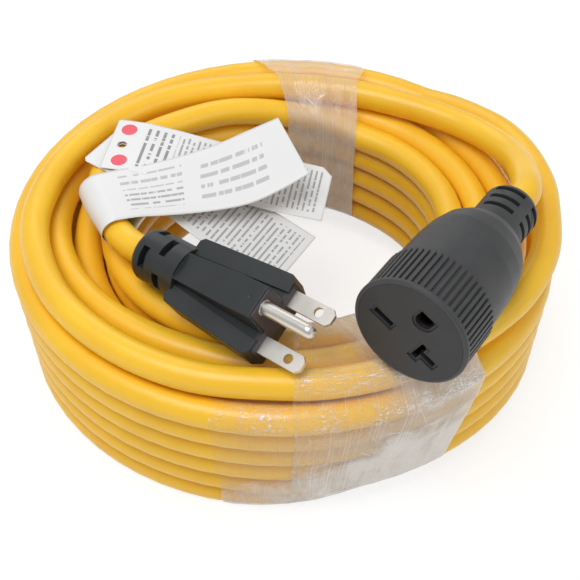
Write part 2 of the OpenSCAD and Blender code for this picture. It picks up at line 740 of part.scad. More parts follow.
leaf_gap = blade_t - 0.1;
lip_reach = (chamber_h - leaf_gap) / 2 - 0.15;

module contact_straight() {
    color(brass_colour)
        in_conn()
            translate([0, -blade_spacing / 2, 0]) {
                leaf_pair(blade_w, leaf_gap, lip_reach);
                tail();
            }
}

module contact_tee() {
    lower = (slot_l + 1.2 - leaf_gap) / 2 - 0.15;
    color(brass_colour)
        in_conn()
            translate([0, blade_spacing / 2, 0]) {
                translate([0, slot_w / 2 + 0.4, 0])
                    leaf_pair(slot_l - slot_w - 0.4, leaf_gap, lower);
                for (s = [-1, 1])      // two short leaves beside the cross slot
                    translate([-face_wall - 0.2 - contact_l, -slot_l / 2 + slot_w / 2 + 0.75,
                               s > 0 ? leaf_gap / 2 : -leaf_gap / 2 - 2])
                        cube([contact_l, contact_t, 2]);
                translate([-face_wall - 0.2 - contact_l, -slot_l / 2 + slot_w / 2 + 0.75, -leaf_gap / 2 - 2])
                    cube([contact_t, slot_l / 2, leaf_gap + 4]);
                tail();
            }
}

ground_sleeve_l = 11;

module contact_ground() {
    back = -face_wall - 0.2 - contact_l;
    color(brass_colour)
        in_conn()
            translate([0, 0, ground_offset]) {
                difference() {
                    translate([back, 0, 0])
                        rotate([0, 90, 0])
                            cylinder(d = ground_d + 2 * contact_t + 0.1, h = contact_l);
                    translate([-face_wall - 0.2 - ground_sleeve_l, 0, 0])
                        rotate([0, 90, 0])
                            cylinder(d = ground_d + 0.1, h = ground_sleeve_l + 1);
                    translate([-face_wall - 0.2 - ground_sleeve_l + 2, -0.4, 0])
                        cube([ground_sleeve_l, 0.8, ground_d]);
                }
                tail();
            }
}

conn_ends = [[0, ground_offset], [blade_spacing / 2, 0], [-blade_spacing / 2, 0]];

module conn_wire(i) {
    c = core_place(i);
    in_conn()
        sweep(core_route(conn_cord_x, [-c.x, c.y + face_shift], conn_crimp_x - crimp_l - wire_bare, conn_ends[i]),
              conductor_d, wire_sides, []);
}

// ---- stretch film ----
// A wrap's outline round the pile at angle `a`, `c` clear of the cord. `loose` is the loose turn under the film:
// how far inward of the outermost turns, how far above them and how widely it wanders. `inner` is how far the
// innermost strand lies above the top level, and how much further the film stands off it.
function film_outline(a, c, floor, loose, inner) =
    let(k = cord_r + c, drop = lean(a) * (top_z - base_z), flat = 0.3 * cord_d, zi = top_z + inner[0],
        m = k + inner[1], r = coil_r - loose[0], z = top_z + loose[1], s = loose[2], far_in = loose[0] > pitch)
    concat(
        [[coil_r - drop + flat, floor], [coil_r - drop + k, base_z], [coil_r + k, top_z],
         [coil_r + k * cos(35), top_z + k * sin(35)]],
        far_in ? [[coil_r + k * cos(70), top_z + k * sin(70)]] : [],
        [[r + s + k * cos(35), z + k * sin(35)], [r + s + k * cos(70), z + k * sin(70)],
         [r - s - k * cos(70), z + k * sin(70)], [r - s - k * cos(35), z + k * sin(35)]],
        far_in ? [] : [[inner_r + pitch, top_z + k]],
        [[inner_r, zi + m], [inner_r - m * cos(45), zi + m * sin(45)], [inner_r - m, zi],
         [inner_r - drop - k, base_z], [inner_r - drop - flat, floor]]);

// The same outline where the film stops on both sides below the loose turn, from its inner edge to its outer one.
function film_cut_outline(a, c, floor) =
    let(k = cord_r + c, drop = lean(a) * (top_z - base_z), flat = 0.3 * cord_d, side = k * cos(25),
        z = top_z + k * sin(25))
    [[inner_r - side, z], [inner_r - k, top_z], [inner_r - drop - k, base_z], [inner_r - drop - flat, floor],
     [coil_r - drop + flat, floor], [coil_r - drop + k, base_z], [coil_r + k, top_z], [coil_r + side, z]];

// At the back, the plug's stretch comes down over the innermost turns to the coil's start.
function plug_strand(a) =
    [pitch * (1 - smooth((end_angle - first_turn + 360 + step_span - a) / step_span)), 0.9];

// A thin sheet between two outlines of as many points, carried round the pile. Each section is [outer, inner].
module film_shell(sections, closed) {
    n = len(sections) - 1;
    m = len(sections[0][0]);
    in = (n + 1) * m;                  // where the points of the inner side start
    last = closed ? m - 1 : m - 2;
    pts = concat([for (s = sections, p = s[0]) p], [for (s = sections, p = s[1]) p]);
    sides = [for (i = [0 : n - 1], k = [0 : last])
             let(a = i * m + k, b = i * m + (k + 1) % m)
             each [[a, b, b + m], [a, b + m, a + m],
                   [in + b, in + a, in + a + m], [in + b, in + a + m, in + b + m]]];
    ends = [for (k = [0 : last])
            let(a = k, b = (k + 1) % m, c = n * m + a, d = n * m + b)
            each [[b, a, in + a], [b, in + a, in + b], [c, d, in + d], [c, in + d, in + c]]];
    edges = closed ? [] :
        [for (i = [0 : n - 1])
         let(a = i * m, b = i * m + m - 1)
         each [[a, a + m, in + a + m], [a, in + a + m, in + a], [b + m, b, in + b], [b + m, in + b, in + b + m]]];
    polyhedron(points = pts, faces = concat(sides, ends, edges), convexity = 10);
}

function carried(a, outline) = [for (p = outline) oval(p[0], a, p[1])];

module film_band(from, to, steps, loose, by_plug) {
    film_shell([for (i = [0 : steps])
                let(a = from + (to - from) * i / steps, inner = by_plug ? plug_strand(a) : [0, 0])
                [carried(a, film_outline(a, film_fit + film_t, 0, loose, inner)),
                 carried(a, film_outline(a, film_fit, film_t, loose, inner))]], true);
}

module film_wrap_front() {
    slit = 0.2;                        // degrees between the film's two widths
    color(film_colour) {
        film_band(film_front_over, film_front_to, 5, front_loose, false);
        // beside it, the film passes under the loose turn
        film_shell([for (i = [0 : 3])
                    let(a = film_front_from + (film_front_over - slit - film_front_from) * i / 3)
                    [carried(a, film_cut_outline(a, film_fit + film_t, 0)),
                     carried(a, film_cut_outline(a, film_fit, film_t))]], false);
    }
}

module film_wrap_back() {
    color(film_colour)
        film_band(film_back_from, film_back_to, 4, back_loose, true);
}

// ---- label and tags ----
function side_of(p, off) = let(n = len(p) - 1)
    [for (i = [0 : n]) let(d = unit(p[min(n, i + 1)] - p[max(0, i - 1)])) p[i] + off * [-d.y, d.x]];
function reversed(p) = [for (i = [len(p) - 1 : -1 : 0]) p[i]];

// A strip of thickness `t` seen from its edge, along a smooth curve through points.
module strip_outline(points, t) {
    c = curve(points, 4);
    polygon(concat(side_of(c, t / 2), reversed(side_of(c, -t / 2))));
}

module placed(at, turn) {
    translate(at)
        rotate(turn)
            children();
}

label_at = [-64.8 * spread, -6 * spread, top_z + label_rise];
label_turn = [-3, 0, 21.5];
// The flag's run: its share of the label's length, and its rise over the top of the loop
label_run = [[0.1, 0.1], [0.25, -0.5], [0.45, -1.2], [0.64, -0.8], [0.83, 1.2], [1, 4.2]];

module cord_label() {
    r = (label_loop_d + tag_t) / 2;
    color(tag_colour)
        placed(label_at, label_turn)
            translate([0, label_w / 2, 0])
                rotate([90, 0, 0])
                    linear_extrude(height = label_w) {
                        difference() {
                            circle(r = r + tag_t / 2);
                            circle(r = r - tag_t / 2);
                        }
                        strip_outline(concat([[0, r]], [for (p = label_run) [p[0] * label_l, r + p[1]]]), tag_t);
                    }
}

crest_z = top_z + pitch + cord_r;      // of the cord that the tags lie on
hole_at = [-61.5 * spread, 24.5 * spread, crest_z + 0.6];
tag_end = tag_l - tag_hole_x;
dotted_turn = [0, 0, -11];
plain_turn = [0, 0, -35];
tag_lifts = [1.1 + tag_t, 0.3 * tag_t];   // of the dotted tag and the plain one

module tag(turn, lift, droop) {
    placed(hole_at + [0, 0, lift], turn)
        difference() {
            translate([0, tag_w / 2, 0])
                rotate([90, 0, 0])
                    linear_extrude(height = tag_w)
                        strip_outline([[-tag_hole_x, 0], [0, 0], [7, 0], [0.25 * tag_end, -0.17 * droop],
                                       [0.5 * tag_end, -0.52 * droop], [0.75 * tag_end, -0.82 * droop],
                                       [tag_end, -droop]], tag_t);
            translate([0, 0, -1])
                cylinder(d = tag_hole_d, h = 2);
        }
}

module safety_tag_dotted() {
    color(tag_colour)
        tag(dotted_turn, tag_lifts[0], dotted_droop);
}

module safety_tag_plain() {
    color(tag_colour)
        tag(plain_turn, tag_lifts[1], plain_droop);
}

// The back's lean carries the lowest turns outward, so the pieces are moved forward by half of it.
module centred() {
    translate([0, -back_lean * (top_z - base_z) / 2, 0])
        children();
}

centred() cord_coil();
centred() cord_plug_end();
centred() cord_connector_end();
centred() plug_body();
centred() plug_bridge();
centred() line_blade(1);  // line_blade_1
centred() line_blade(-1);  // line_blade_2
centred() ground_pin();
centred() color("green") plug_wire(0);  // plug_wire_green
centred() color("white") plug_wire(1);  // plug_wire_white
centred() color("black") plug_wire(2);  // plug_wire_black
centred()  // plug_copper_ends
        color(copper_colour)
            in_plug()
                for (e = plug_ends)
                    copper_end(crimp_x, e.x, e.y);
centred() connector_body();
centred() connector_insert();
centred() contact_straight();
centred() contact_tee();
centred() contact_ground();
centred() color("green") conn_wire(0);  // connector_wire_green
centred() color("white") conn_wire(1);  // connector_wire_white
centred() color("black") conn_wire(2);  // connector_wire_black
centred()  // connector_copper_ends
        color(copper_colour)
            in_conn()
                for (e = conn_ends)
                    copper_end(conn_crimp_x, e.x, e.y);
centred() film_wrap_front();
centred() film_wrap_back();
centred() cord_label();
centred() safety_tag_dotted();
centred() safety_tag_plain();
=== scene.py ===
"""Looks for a coiled power cord with its plug, connector, film wraps, label and tags.

Run as a script in Blender 4.5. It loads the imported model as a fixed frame, dresses each piece and sets the stage.
"""

import math

import bpy
import numpy as np
from bpy.props import FloatProperty, FloatVectorProperty, IntProperty, PointerProperty
from mathutils import Matrix, Vector, noise


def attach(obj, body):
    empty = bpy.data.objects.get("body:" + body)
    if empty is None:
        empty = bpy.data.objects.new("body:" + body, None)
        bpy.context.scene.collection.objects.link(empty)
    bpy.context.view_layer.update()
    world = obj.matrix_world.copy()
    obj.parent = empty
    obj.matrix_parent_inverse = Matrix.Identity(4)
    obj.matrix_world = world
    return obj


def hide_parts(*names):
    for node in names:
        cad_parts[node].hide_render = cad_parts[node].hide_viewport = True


bl_info = {
    "name": "Coiled Power Cord",
    "version": (1, 0, 0),
    "blender": (4, 5, 0),
    "location": "View3D > Sidebar > Power Cord",
    "description": "Dresses a packed power cord, plug and connector, and sets a plain studio round them",
    "category": "Object",
}

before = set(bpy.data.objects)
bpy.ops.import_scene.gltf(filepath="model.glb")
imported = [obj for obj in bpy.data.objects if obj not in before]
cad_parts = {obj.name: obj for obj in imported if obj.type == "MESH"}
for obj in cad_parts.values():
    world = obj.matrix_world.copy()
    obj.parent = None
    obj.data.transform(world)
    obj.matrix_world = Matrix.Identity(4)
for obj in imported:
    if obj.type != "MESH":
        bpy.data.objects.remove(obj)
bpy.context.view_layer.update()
MM = 0.001
BODY = "root"

# ---- the cord's winding, in millimetres, as in the part's source ----
CORD_D = 10.8
COIL_R = 94.75
COIL_OVAL = 3.25
TURNS_HIGH = 6
TURNS_ACROSS = 4
TURN_GAP = 0.6
FRONT_LEAN = 0.15
BACK_LEAN = 0.15
STEP_SPAN = 80
END_ANGLE = 10
END_EARLY = 50
END_RUN = 2.5
PITCH = CORD_D + TURN_GAP
BASE_Z = 0.4 * CORD_D
TOP_Z = BASE_Z + (TURNS_HIGH - 1) * PITCH
INNER_R = COIL_R - (TURNS_ACROSS - 1) * PITCH
FIRST_TURN = TURNS_ACROSS * STEP_SPAN
LAST_TURN = 360 * (TURNS_HIGH * TURNS_ACROSS - 1) - END_EARLY
FORWARD = BACK_LEAN * (TOP_Z - BASE_Z) / 2  # how far the source moves the whole model forward, to centre it

PLUG_AT = (-2.3, -67.6, TOP_Z + 22.4)
PLUG_TURN = (24.6, -6.9, -40.2)
PLUG_CORD_X = -46
PLUG_EXIT_X = -60
CONN_AT = (37.5, -84.6, TOP_Z + 34.3)
CONN_TURN = (-28.3, -3.8, -123.9)
CONN_CORD_X = -52
CONN_EXIT_X = -73.5
FACE_SHIFT = 3.6

PLUG_ROUTE = [(-64.5, -9, 13), (-68.5, 4, 12.3), (-67.5, 19, 11.6), (-59.5, 33, 11.4), (-42, 44.5, 11.5),
              (-22, 54, 9.9), (0, 57.5, 6), (20, 55, 2.1)]
CONN_ROUTE = [(70.5, 64.6, 2.4), (80, 54.6, 5), (88.3, 43.5, 7.2), (94.7, 29, 8.8), (98.2, 12, 10), (97.9, -3, 10.8),
              (94.4, -25, 11), (84.5, -44.3, 10.9), (72, -57.4, 10.6), (57.7, -67.9, 10.3), (42, -76.8, 10.2),
              (21, -82.9, 10.2), (0, -84.3, 10.2), (-31.6, -80.5, 10.4), (-59.5, -66.2, 10.4),
              (-80.5, -43.8, 10.6), (-91, -15.2, 11), (-89, 11, 11), (-78.5, 33.5, 11.2), (-63, 50, 11.2),
              (-45.5, 60.8, 11.2), (-24, 66.8, 11.2), (0, 68.6, 11.2), (23.3, 65.4, 11.2), (43, 59, 11.2),
              (60, 51, 11.3), (75, 40, 12.2), (84.5, 25, 16), (88.2, 8, 22.5)]

FILM_FRONT = (-105, -51.5)  # the angles between which a wrap of film runs
FILM_FRONT_OVER = -88.2     # from here on, it also goes over the loose turn on top
FILM_BACK = (72, 97)
FILM_FLOOR = 0.35           # how high the film under the pile lifts the lowest turns


def metres(v):
    """A point laid out from the coil's middle, in millimetres, as a place in the model."""
    return (Vector(v) - Vector((0, FORWARD, 0))) * MM


def turned(v, turn):
    """A vector turned about X, then Y, then Z, in degrees."""
    out = Vector(v)
    for axis, angle in zip("XYZ", turn):
        out = Matrix.Rotation(math.radians(angle), 3, axis) @ out
    return out


def on_plug(v):
    """A point of the plug's own frame, in millimetres of the whole model."""
    return Vector(PLUG_AT) + turned(v, PLUG_TURN)


def on_conn(v):
    """A point of the connector's own frame, in millimetres of the whole model."""
    return Vector(CONN_AT) + turned(v, CONN_TURN)


def smooth(t):
    """A soft step from 0 to 1."""
    c = min(1.0, max(0.0, t))
    return c * c * (3 - 2 * c)


def step_start(ring):
    return (TURNS_ACROSS - 1 - ring) * STEP_SPAN


def ring_start(ring):
    return ring * TURNS_HIGH - (1 if ring > 0 else 0)


def step_ahead(ring, k):
    return STEP_SPAN if ring == 0 and k == TURNS_HIGH - 1 else 0


def level_at(t):
    """The level of the winding, 0 at the bottom, after t degrees of turns."""
    level = TURNS_HIGH - 1
    for ring in range(TURNS_ACROSS):
        done = sum(smooth((t - step_start(ring) + step_ahead(ring, k) - 360 * (ring_start(ring) + k)) / STEP_SPAN)
                   for k in range(1, TURNS_HIGH))
        level += -done if ring % 2 == 0 else done
    return level


def ring_at(t):
    """The ring of the winding, 0 inside, after t degrees of turns."""
    return sum(smooth((t - step_start(s - 1) - 360 * ring_start(s)) / STEP_SPAN + 0.5)
               for s in range(1, TURNS_ACROSS))


def oval(r, a, z):
    """A point at radius r and angle a, in degrees, of the slightly oval coil."""
    return Vector(((r + COIL_OVAL) * math.cos(math.radians(a)), (r - COIL_OVAL) * math.sin(math.radians(a)), z))


def lean(a):
    """The inward lean of the pile at an angle, which is outward at the back."""
    back = math.sin(math.radians(a))
    return FRONT_LEAN * (1 - back) / 2 - BACK_LEAN * (1 + back) / 2


def coil_point(t):
    """The cord's middle after t degrees of turns."""
    a, z = END_ANGLE - t, BASE_Z + level_at(t) * PITCH
    return oval(INNER_R + ring_at(t) * PITCH - lean(a) * (TOP_Z - z), a, z)


def bend_at(points, i, t):
    """A place on a smooth curve through points, at a share t of the way from the point numbered i to the next."""
    a, b, c, d = (Vector(points[j]) for j in (max(0, i - 1), i, i + 1, min(len(points) - 1, i + 2)))
    return 0.5 * (2 * b + (c - a) * t + (2 * a - 5 * b + 4 * c - d) * t * t + (3 * b - a - 3 * c + d) * t ** 3)


def curve_through(points, cuts):
    """Points of a smooth curve through the given ones."""
    return [bend_at(points, i, j / cuts) for i in range(len(points) - 1) for j in range(cuts)] + [points[-1]]


def cord_route():
    """The middle of the whole cord, in millimetres, from inside the plug to inside the connector."""
    degree = 180 / math.pi
    steps = round((LAST_TURN - FIRST_TURN) / 360 * 60)
    turns = [coil_point(FIRST_TURN + (LAST_TURN - FIRST_TURN) * i / steps) for i in range(steps + 1)]
    start = coil_point(FIRST_TURN - CORD_D / INNER_R * degree)
    end = coil_point(LAST_TURN + CORD_D / COIL_R * degree)
    over = [Vector((x, y, TOP_Z + z)) for x, y, z in PLUG_ROUTE]
    plug_side = curve_through([on_plug((PLUG_EXIT_X, 0, 0)), on_plug((PLUG_EXIT_X - CORD_D, 0, 0))] + over
                              + [start + (start - turns[0]).normalized() * END_RUN], 6)
    over = [Vector((x, y, TOP_Z + z)) for x, y, z in CONN_ROUTE]
    conn_side = curve_through([end + (end - turns[-1]).normalized() * END_RUN] + over
                              + [on_conn((CONN_EXIT_X - CORD_D, 0, FACE_SHIFT)),
                                 on_conn((CONN_EXIT_X, 0, FACE_SHIFT))], 6)
    return ([on_plug((PLUG_CORD_X, 0, 0))] + plug_side + [start] + turns + [end] + conn_side
            + [on_conn((CONN_CORD_X, 0, FACE_SHIFT))])


def floor_at(p):
    """How high the surface lies that the lowest turns are pressed flat on."""
    a = math.degrees(math.atan2(p.y, p.x))
    on_film = any(low < a < high for low, high in (FILM_FRONT, FILM_BACK))
    return FILM_FLOOR if on_film else 0.0


# ---- meshes ----
def new_piece(name, verts, faces, material, smooth_faces=True):
    """A mesh object, in metres, that rides on the model."""
    mesh = bpy.data.meshes.new(name)
    mesh.from_pydata([tuple(v) for v in verts], [], faces)
    mesh.update()
    piece = bpy.data.objects.new(name, mesh)
    bpy.context.scene.collection.objects.link(piece)
    if smooth_faces:
        mesh.polygons.foreach_set("use_smooth", [True] * len(mesh.polygons))
    mesh.materials.append(material)
    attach(piece, BODY)
    return piece


def tube(points, radii, sides):
    """Rings square to a path, with the seam underneath, and the texture places of each corner."""
    verts, faces, places = [], [], []
    n, along = len(points), 0.0
    for i, p in enumerate(points):
        d = (points[min(n - 1, i + 1)] - points[max(0, i - 1)]).normalized()
        side = d.cross(Vector((0, 0, 1))).normalized()
        up = side.cross(d)
        for k in range(sides):
            a = 2 * math.pi * k / sides - math.pi / 2
            q = p + radii[i] * (math.cos(a) * side + math.sin(a) * up)
            verts.append(metres((q.x, q.y, max(q.z, floor_at(p)))))
        if i:
            step = (p - points[i - 1]).length
            for k in range(sides):
                a, b = (i - 1) * sides + k, (i - 1) * sides + (k + 1) % sides
                faces.append((a, b, b + sides, a + sides))
                u0, u1 = k / sides, (k + 1) / sides
                places.append(((u0, along), (u1, along), (u1, along + step), (u0, along + step)))
            along += step
    faces.append(tuple(range(sides - 1, -1, -1)))
    faces.append(tuple(range((n - 1) * sides, n * sides)))
    places += [((0.5, 0),) * sides, ((0.5, along),) * sides]
    return verts, faces, places


def set_places(mesh, places):
    """Writes texture places, a pair of numbers for each corner of each face."""
    layer = mesh.uv_layers.new(name="places")
    layer.data.foreach_set("uv", np.array([c for face in places for c in face], np.float32).ravel())


def grid_faces(rows, columns, closed=False):
    """Faces of a grid of points, row by row, and the corner numbers (row, column) of each."""
    faces, corners = [], []
    for i in range(rows - 1):
        for k in range(columns if closed else columns - 1):
            b = (k + 1) % columns
            faces.append((i * columns + k, i * columns + b, (i + 1) * columns + b, (i + 1) * columns + k))
            corners.append(((i, k), (i, k + 1), (i + 1, k + 1), (i + 1, k)))
    return faces, corners


# ---- the film, drawn tight over the strands that it holds ----
FILM_CLEAR = 0.45           # between the film and the cord
LOOSE_Z = TOP_Z + 5         # strands with their middle above this lie loose on the pile
FILM_FOOT = 0.05            # how high the film's underside lies
FILM_INWARD = 25            # how far inside the inner wall the half planes start that cut the strands
STRAND_DOTS = 28            # points round each strand, which the outline is drawn round
FILM_CELLS = (190, 44)      # points of a wrap round the pile, and across the wrap
EDGE_WANDER = 0.045         # how fast a wrap's edge wanders along it, and how fast and how much it frays
EDGE_FRAY = 0.3
FRAY_SHARE = 0.25
SLACK_RISE = 12             # over which height above the top level the slack sets in
WAVE = 0.18                 # the film's small waves off the strands, and how fast they change along it
WAVE_RATE = 0.11


def noise_at(x, y, z):
    return noise.noise(Vector((x, y, z)))


def flat_at(r, angle):
    """A flat point at a distance and an angle from the coil's middle."""
    return np.array((r * math.cos(math.radians(angle)), r * math.sin(math.radians(angle))))


def strands_at(start, out, route):
    """Where the strands cross an upright half plane: the distance from its start and the height of each."""
    across = (route[:, 0] - start[0]) * -out[1] + (route[:, 1] - start[1]) * out[0]
    away = (route[:, 0] - start[0]) * out[0] + (route[:, 1] - start[1]) * out[1]
    hits = np.nonzero((across[:-1] * across[1:] < 0) & (away[:-1] > 0))[0]
    share = across[hits] / (across[hits] - across[hits + 1])
    return np.stack([away[hits] + share * (away[hits + 1] - away[hits]),
                     route[hits, 2] + share * (route[hits + 1, 2] - route[hits, 2])], 1)


def hull_of(points):
    """The convex outline of flat points, anticlockwise."""
    def half(ordered):
        chain = []
        for q in ordered:
            while len(chain) > 1 and ((chain[-1][0] - chain[-2][0]) * (q[1] - chain[-2][1])
                                      - (chain[-1][1] - chain[-2][1]) * (q[0] - chain[-2][0])) <= 0:
                chain.pop()
            chain.append(q)
        return chain[:-1]
    ordered = sorted(map(tuple, points))
    return half(ordered) + half(ordered[::-1])


def outline_round(strands, count):
    """A tight outline round strands, from its outer foot up and over, as `count` evenly spaced points."""
    turn = np.linspace(0, 2 * math.pi, STRAND_DOTS, endpoint=False)
    reach = CORD_D / 2 + FILM_CLEAR
    dots = (strands[:, None, :] + reach * np.stack([np.cos(turn), np.sin(turn)], 1)[None]).reshape(-1, 2)
    dots[:, 1] = np.maximum(dots[:, 1], FILM_FOOT)
    hull = hull_of(dots)
    foot = max((q for q in hull if q[1] < FILM_FOOT + 0.01), key=lambda q: q[0])
    at = hull.index(foot)
    ring = np.array(hull[at:] + hull[:at + 1])
    along = np.concatenate([[0], np.cumsum(np.linalg.norm(np.diff(ring, axis=0), axis=1))])
    even = np.linspace(0, along[-1], count, endpoint=False)
    return np.stack([np.interp(even, along, ring[:, i]) for i in (0, 1)], 1), even


def film_ring(outer, inner, route, over_loose, count):
    """The tight outline of the pile between an angle at the outer turns and one at the inner turns: its points, each
    one's way outward, where it stands along the outline, and which way is across."""
    far, near = flat_at(COIL_R, outer), flat_at(INNER_R - CORD_D / 2, inner)
    out = (far - near) / np.linalg.norm(far - near)
    start = near - FILM_INWARD * out
    strands = strands_at(start, out, route)
    if not over_loose:
        strands = strands[strands[:, 1] < LOOSE_Z]
    ring, along = outline_round(strands, count)
    points = np.column_stack([start + ring[:, :1] * out, ring[:, 1]])
    outward = np.sign(ring[:, :1] - ring[:, 0].mean()) * out
    return points, outward, along, np.array((-out[1], out[0]))


def film_piece(name, route, outer, inner, over_loose, seed, edge, material, node, slack=0.0, skew=0.0):
    """A wrap of film with uneven edges, between two angles at the outer turns and two at the inner ones. `slack`
    lifts it where it is drawn over the pile, and `skew` turns its far edge there by so many degrees."""
    columns, rows = FILM_CELLS
    verts, spots = [], []
    width = math.radians(outer[1] - outer[0]) * COIL_R
    for i in range(rows):
        share = i / (rows - 1)
        a, b = (span[0] + (span[1] - span[0]) * share for span in (outer, inner))
        low, outward, along, side = film_ring(a, b, route, over_loose, columns)
        high = film_ring(a + skew * share, b + skew * share, route, over_loose, columns)[0] if skew else low
        for k, (bottom, top) in enumerate(zip(low, high)):
            x, y, z = bottom + (top - bottom) * smooth(bottom[2] / TOP_Z)
            wander = noise_at(along[k] * EDGE_WANDER, seed, share * 2)
            fray = noise_at(along[k] * EDGE_FRAY, seed + 7, share * 2)
            shift = edge * (wander + FRAY_SHARE * fray) * (abs(share - 0.5) * 2) ** 3
            crest = smooth((z - TOP_Z) / SLACK_RISE) * slack * (0.5 + noise_at(x * 0.08, share * 2, seed))
            on_floor = z < 4 * FILM_FOOT
            lift = 0.0 if on_floor else WAVE * (1 + noise_at(along[k] * WAVE_RATE, share * 6, seed + 3))
            x, y = (x, y) + outward[k] * lift + side * shift
            verts.append(metres((x, y, z + crest)))
            spots.append((along[k], width * share))
    faces, corners = grid_faces(rows, columns, closed=True)
    film = new_piece(name, verts, faces, material)
    around = spots[columns - 1][0] + spots[1][0]
    places = [[(spots[i * columns + k % columns][0] + (around if k == columns else 0),
                spots[i * columns + k % columns][1]) for i, k in quad] for quad in corners]
    set_places(film.data, places)
    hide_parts(node)


# ---- paper ----
def between(points, t):
    """A place on a smooth curve through points, at a share of its length in steps."""
    n = len(points) - 1
    i = min(n - 1, int(t * n))
    return bend_at(points, i, t * n - i)


PAPER_THICK = 0.22
LABEL_WIDE = 26
LABEL_LONG = 118
LABEL_UNDER = 17            # of the label's length comes from the flag down to the loop's lowest point
LABEL_ROUND = 23.5          # of it goes half round the cord, up to the flag
LABEL_R = 7.4
LABEL_CLOSE = 1.5           # how much closer to the cord it lies at its near edge
LABEL_TURN = 21.5           # the way that the flag points, in degrees
LABEL_STUCK = 0.2           # the share of the flag where the under part is stuck to it
# The two long edges of the flag, from the loop's top to its free end: the one nearer the viewer, and the other
LABEL_NEAR = [(-60, -18.1, 81.9), (-53, -14.6, 80), (-45.5, -11.5, 77.5), (-36.2, -8.6, 75.5), (-24.4, -6.8, 75.5),
              (-12.1, -5.3, 77.5), (-1, -1.5, 80.5), (9.7, 3.5, 84)]
LABEL_FAR = [(-69.6, 6.1, 81.9), (-62, 9.6, 80.9), (-52.9, 13.1, 79.8), (-39.5, 17.9, 79.8), (-27, 22.5, 81),
             (-14.5, 27.1, 84), (-8, 29, 86), (-1.8, 30.6, 88)]
TAG_LONG, TAG_WIDE, TAG_HOLE, TAG_HOLE_R = 91, 28, 11, 1.75
CREST_Z = TOP_Z + PITCH + CORD_D / 2
# Of each tag: its turn, how high over the cord, how far its end hangs, and how much further its near edge hangs
DOTTED = (-11, 1.5, 12.5, 1.0)
PLAIN = (-35, 0.12, 16.0, 3.0)
TAG_AT = (-61.5, 24.5, CREST_Z + 0.6)
# How much of its droop a tag has at each share of the way from its hole to its end
TAG_FALL = [(0, 0), (0.01, 0), (0.09, 0), (0.25, 0.17), (0.5, 0.52), (0.75, 0.82), (1, 1)]
TAG_TWIST = 0.5
DOTTED_CUT, PLAIN_CUT = 6, 3  # how much shorter each tag is at its hole


def level_way(angle):
    """The level direction at an angle from X, in degrees."""
    return Vector((math.cos(math.radians(angle)), math.sin(math.radians(angle)), 0))


def label_sheet(s, t):
    """The label: from under its own flag, round the cord, and out along the flag."""
    top = Vector(LABEL_NEAR[0]).lerp(Vector(LABEL_FAR[0]), t)
    radius = LABEL_R - LABEL_CLOSE * smooth(1 - t * 1.4)
    middle = top - Vector((0, 0, radius))
    ahead = level_way(LABEL_TURN)
    along = s * LABEL_LONG
    if along < LABEL_UNDER:
        f = 1 - along / LABEL_UNDER
        stuck = between(LABEL_NEAR, LABEL_STUCK).lerp(between(LABEL_FAR, LABEL_STUCK), t) - Vector((0, 0, 0.5))
        low = middle - Vector((0, 0, radius))
        return low.lerp(Vector((stuck.x, stuck.y, low.z + (stuck.z - low.z) * smooth(f))), f)
    if along < LABEL_UNDER + LABEL_ROUND:
        a = math.pi * (along - LABEL_UNDER) / LABEL_ROUND
        return middle + radius * (-ahead * math.sin(a) - Vector((0, 0, math.cos(a))))
    f = (along - LABEL_UNDER - LABEL_ROUND) / (LABEL_LONG - LABEL_UNDER - LABEL_ROUND)
    return between(LABEL_NEAR, f).lerp(between(LABEL_FAR, f), t)


def tag_sheet(lay, cut):
    """A tag that lies on the cord at its hole, and hangs from there. `cut` is missing of its end by the hole."""
    turn, lift, droop, hang = lay
    ahead = level_way(turn)
    side = Vector((-ahead.y, ahead.x, 0))

    def sheet(s, t):
        x, y = cut + s * (TAG_LONG - cut) - TAG_HOLE, (t - 0.5) * TAG_WIDE
        share = max(0.0, x / (TAG_LONG - TAG_HOLE))
        drop = np.interp(share, *zip(*TAG_FALL)) * droop
        edge = hang * smooth(share * 1.5) * (0.5 - t) + TAG_TWIST * math.sin(share * 7) * (t - 0.5)
        return Vector(TAG_AT) + ahead * x + side * y + Vector((0, 0, lift - drop - edge))
    return sheet


def paper_piece(name, sheet, size, cells, clips, hole, material, node):
    """A sheet of paper. `sheet(s, t)` gives its place at the shares s along and t across; `clips` are how far its
    corners are cut, at the start and the end of its two long edges; `hole` is the middle and radius of a hole."""
    long, wide = size
    rows, columns = cells
    flat = []
    for i in range(rows + 1):
        x = long * i / rows
        low = max(0.0, clips[0] - x, clips[1] - (long - x))
        high = wide - max(0.0, clips[2] - x, clips[3] - (long - x))
        flat += [Vector((x, low + (high - low) * k / columns)) for k in range(columns + 1)]
    faces, _ = grid_faces(rows + 1, columns + 1)
    if hole:
        middle, radius = Vector(hole[0]), hole[1]
        faces = [f for f in faces if (sum((flat[v] for v in f), Vector((0, 0))) / 4 - middle).length > radius]
        used = {}
        for face in faces:
            for i, v in enumerate(face):
                edge = frozenset((v, face[(i + 1) % 4]))
                used[edge] = used.get(edge, 0) + 1
        for v in {v for edge, times in used.items() if times == 1 for v in edge}:
            away = flat[v] - middle
            if away.length < radius + 2:
                flat[v] = middle + away.normalized() * radius
    verts = [metres(sheet(q.x / long, q.y / wide)) for q in flat]
    piece = new_piece(name, verts, faces, material)
    set_places(piece.data, [[(flat[v].x, flat[v].y) for v in face] for face in faces])
    thick = piece.modifiers.new("thickness", "SOLIDIFY")
    thick.thickness = PAPER_THICK * MM
    thick.offset = 0
    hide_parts(node)


# ---- material nodes ----
GRAIN_DEPTH = 0.00003       # in metres, as are the next two: of moulded grain, of drawn metal, and a worn edge
METAL_DEPTH = 0.00002
WORN_EDGE = 0.0004
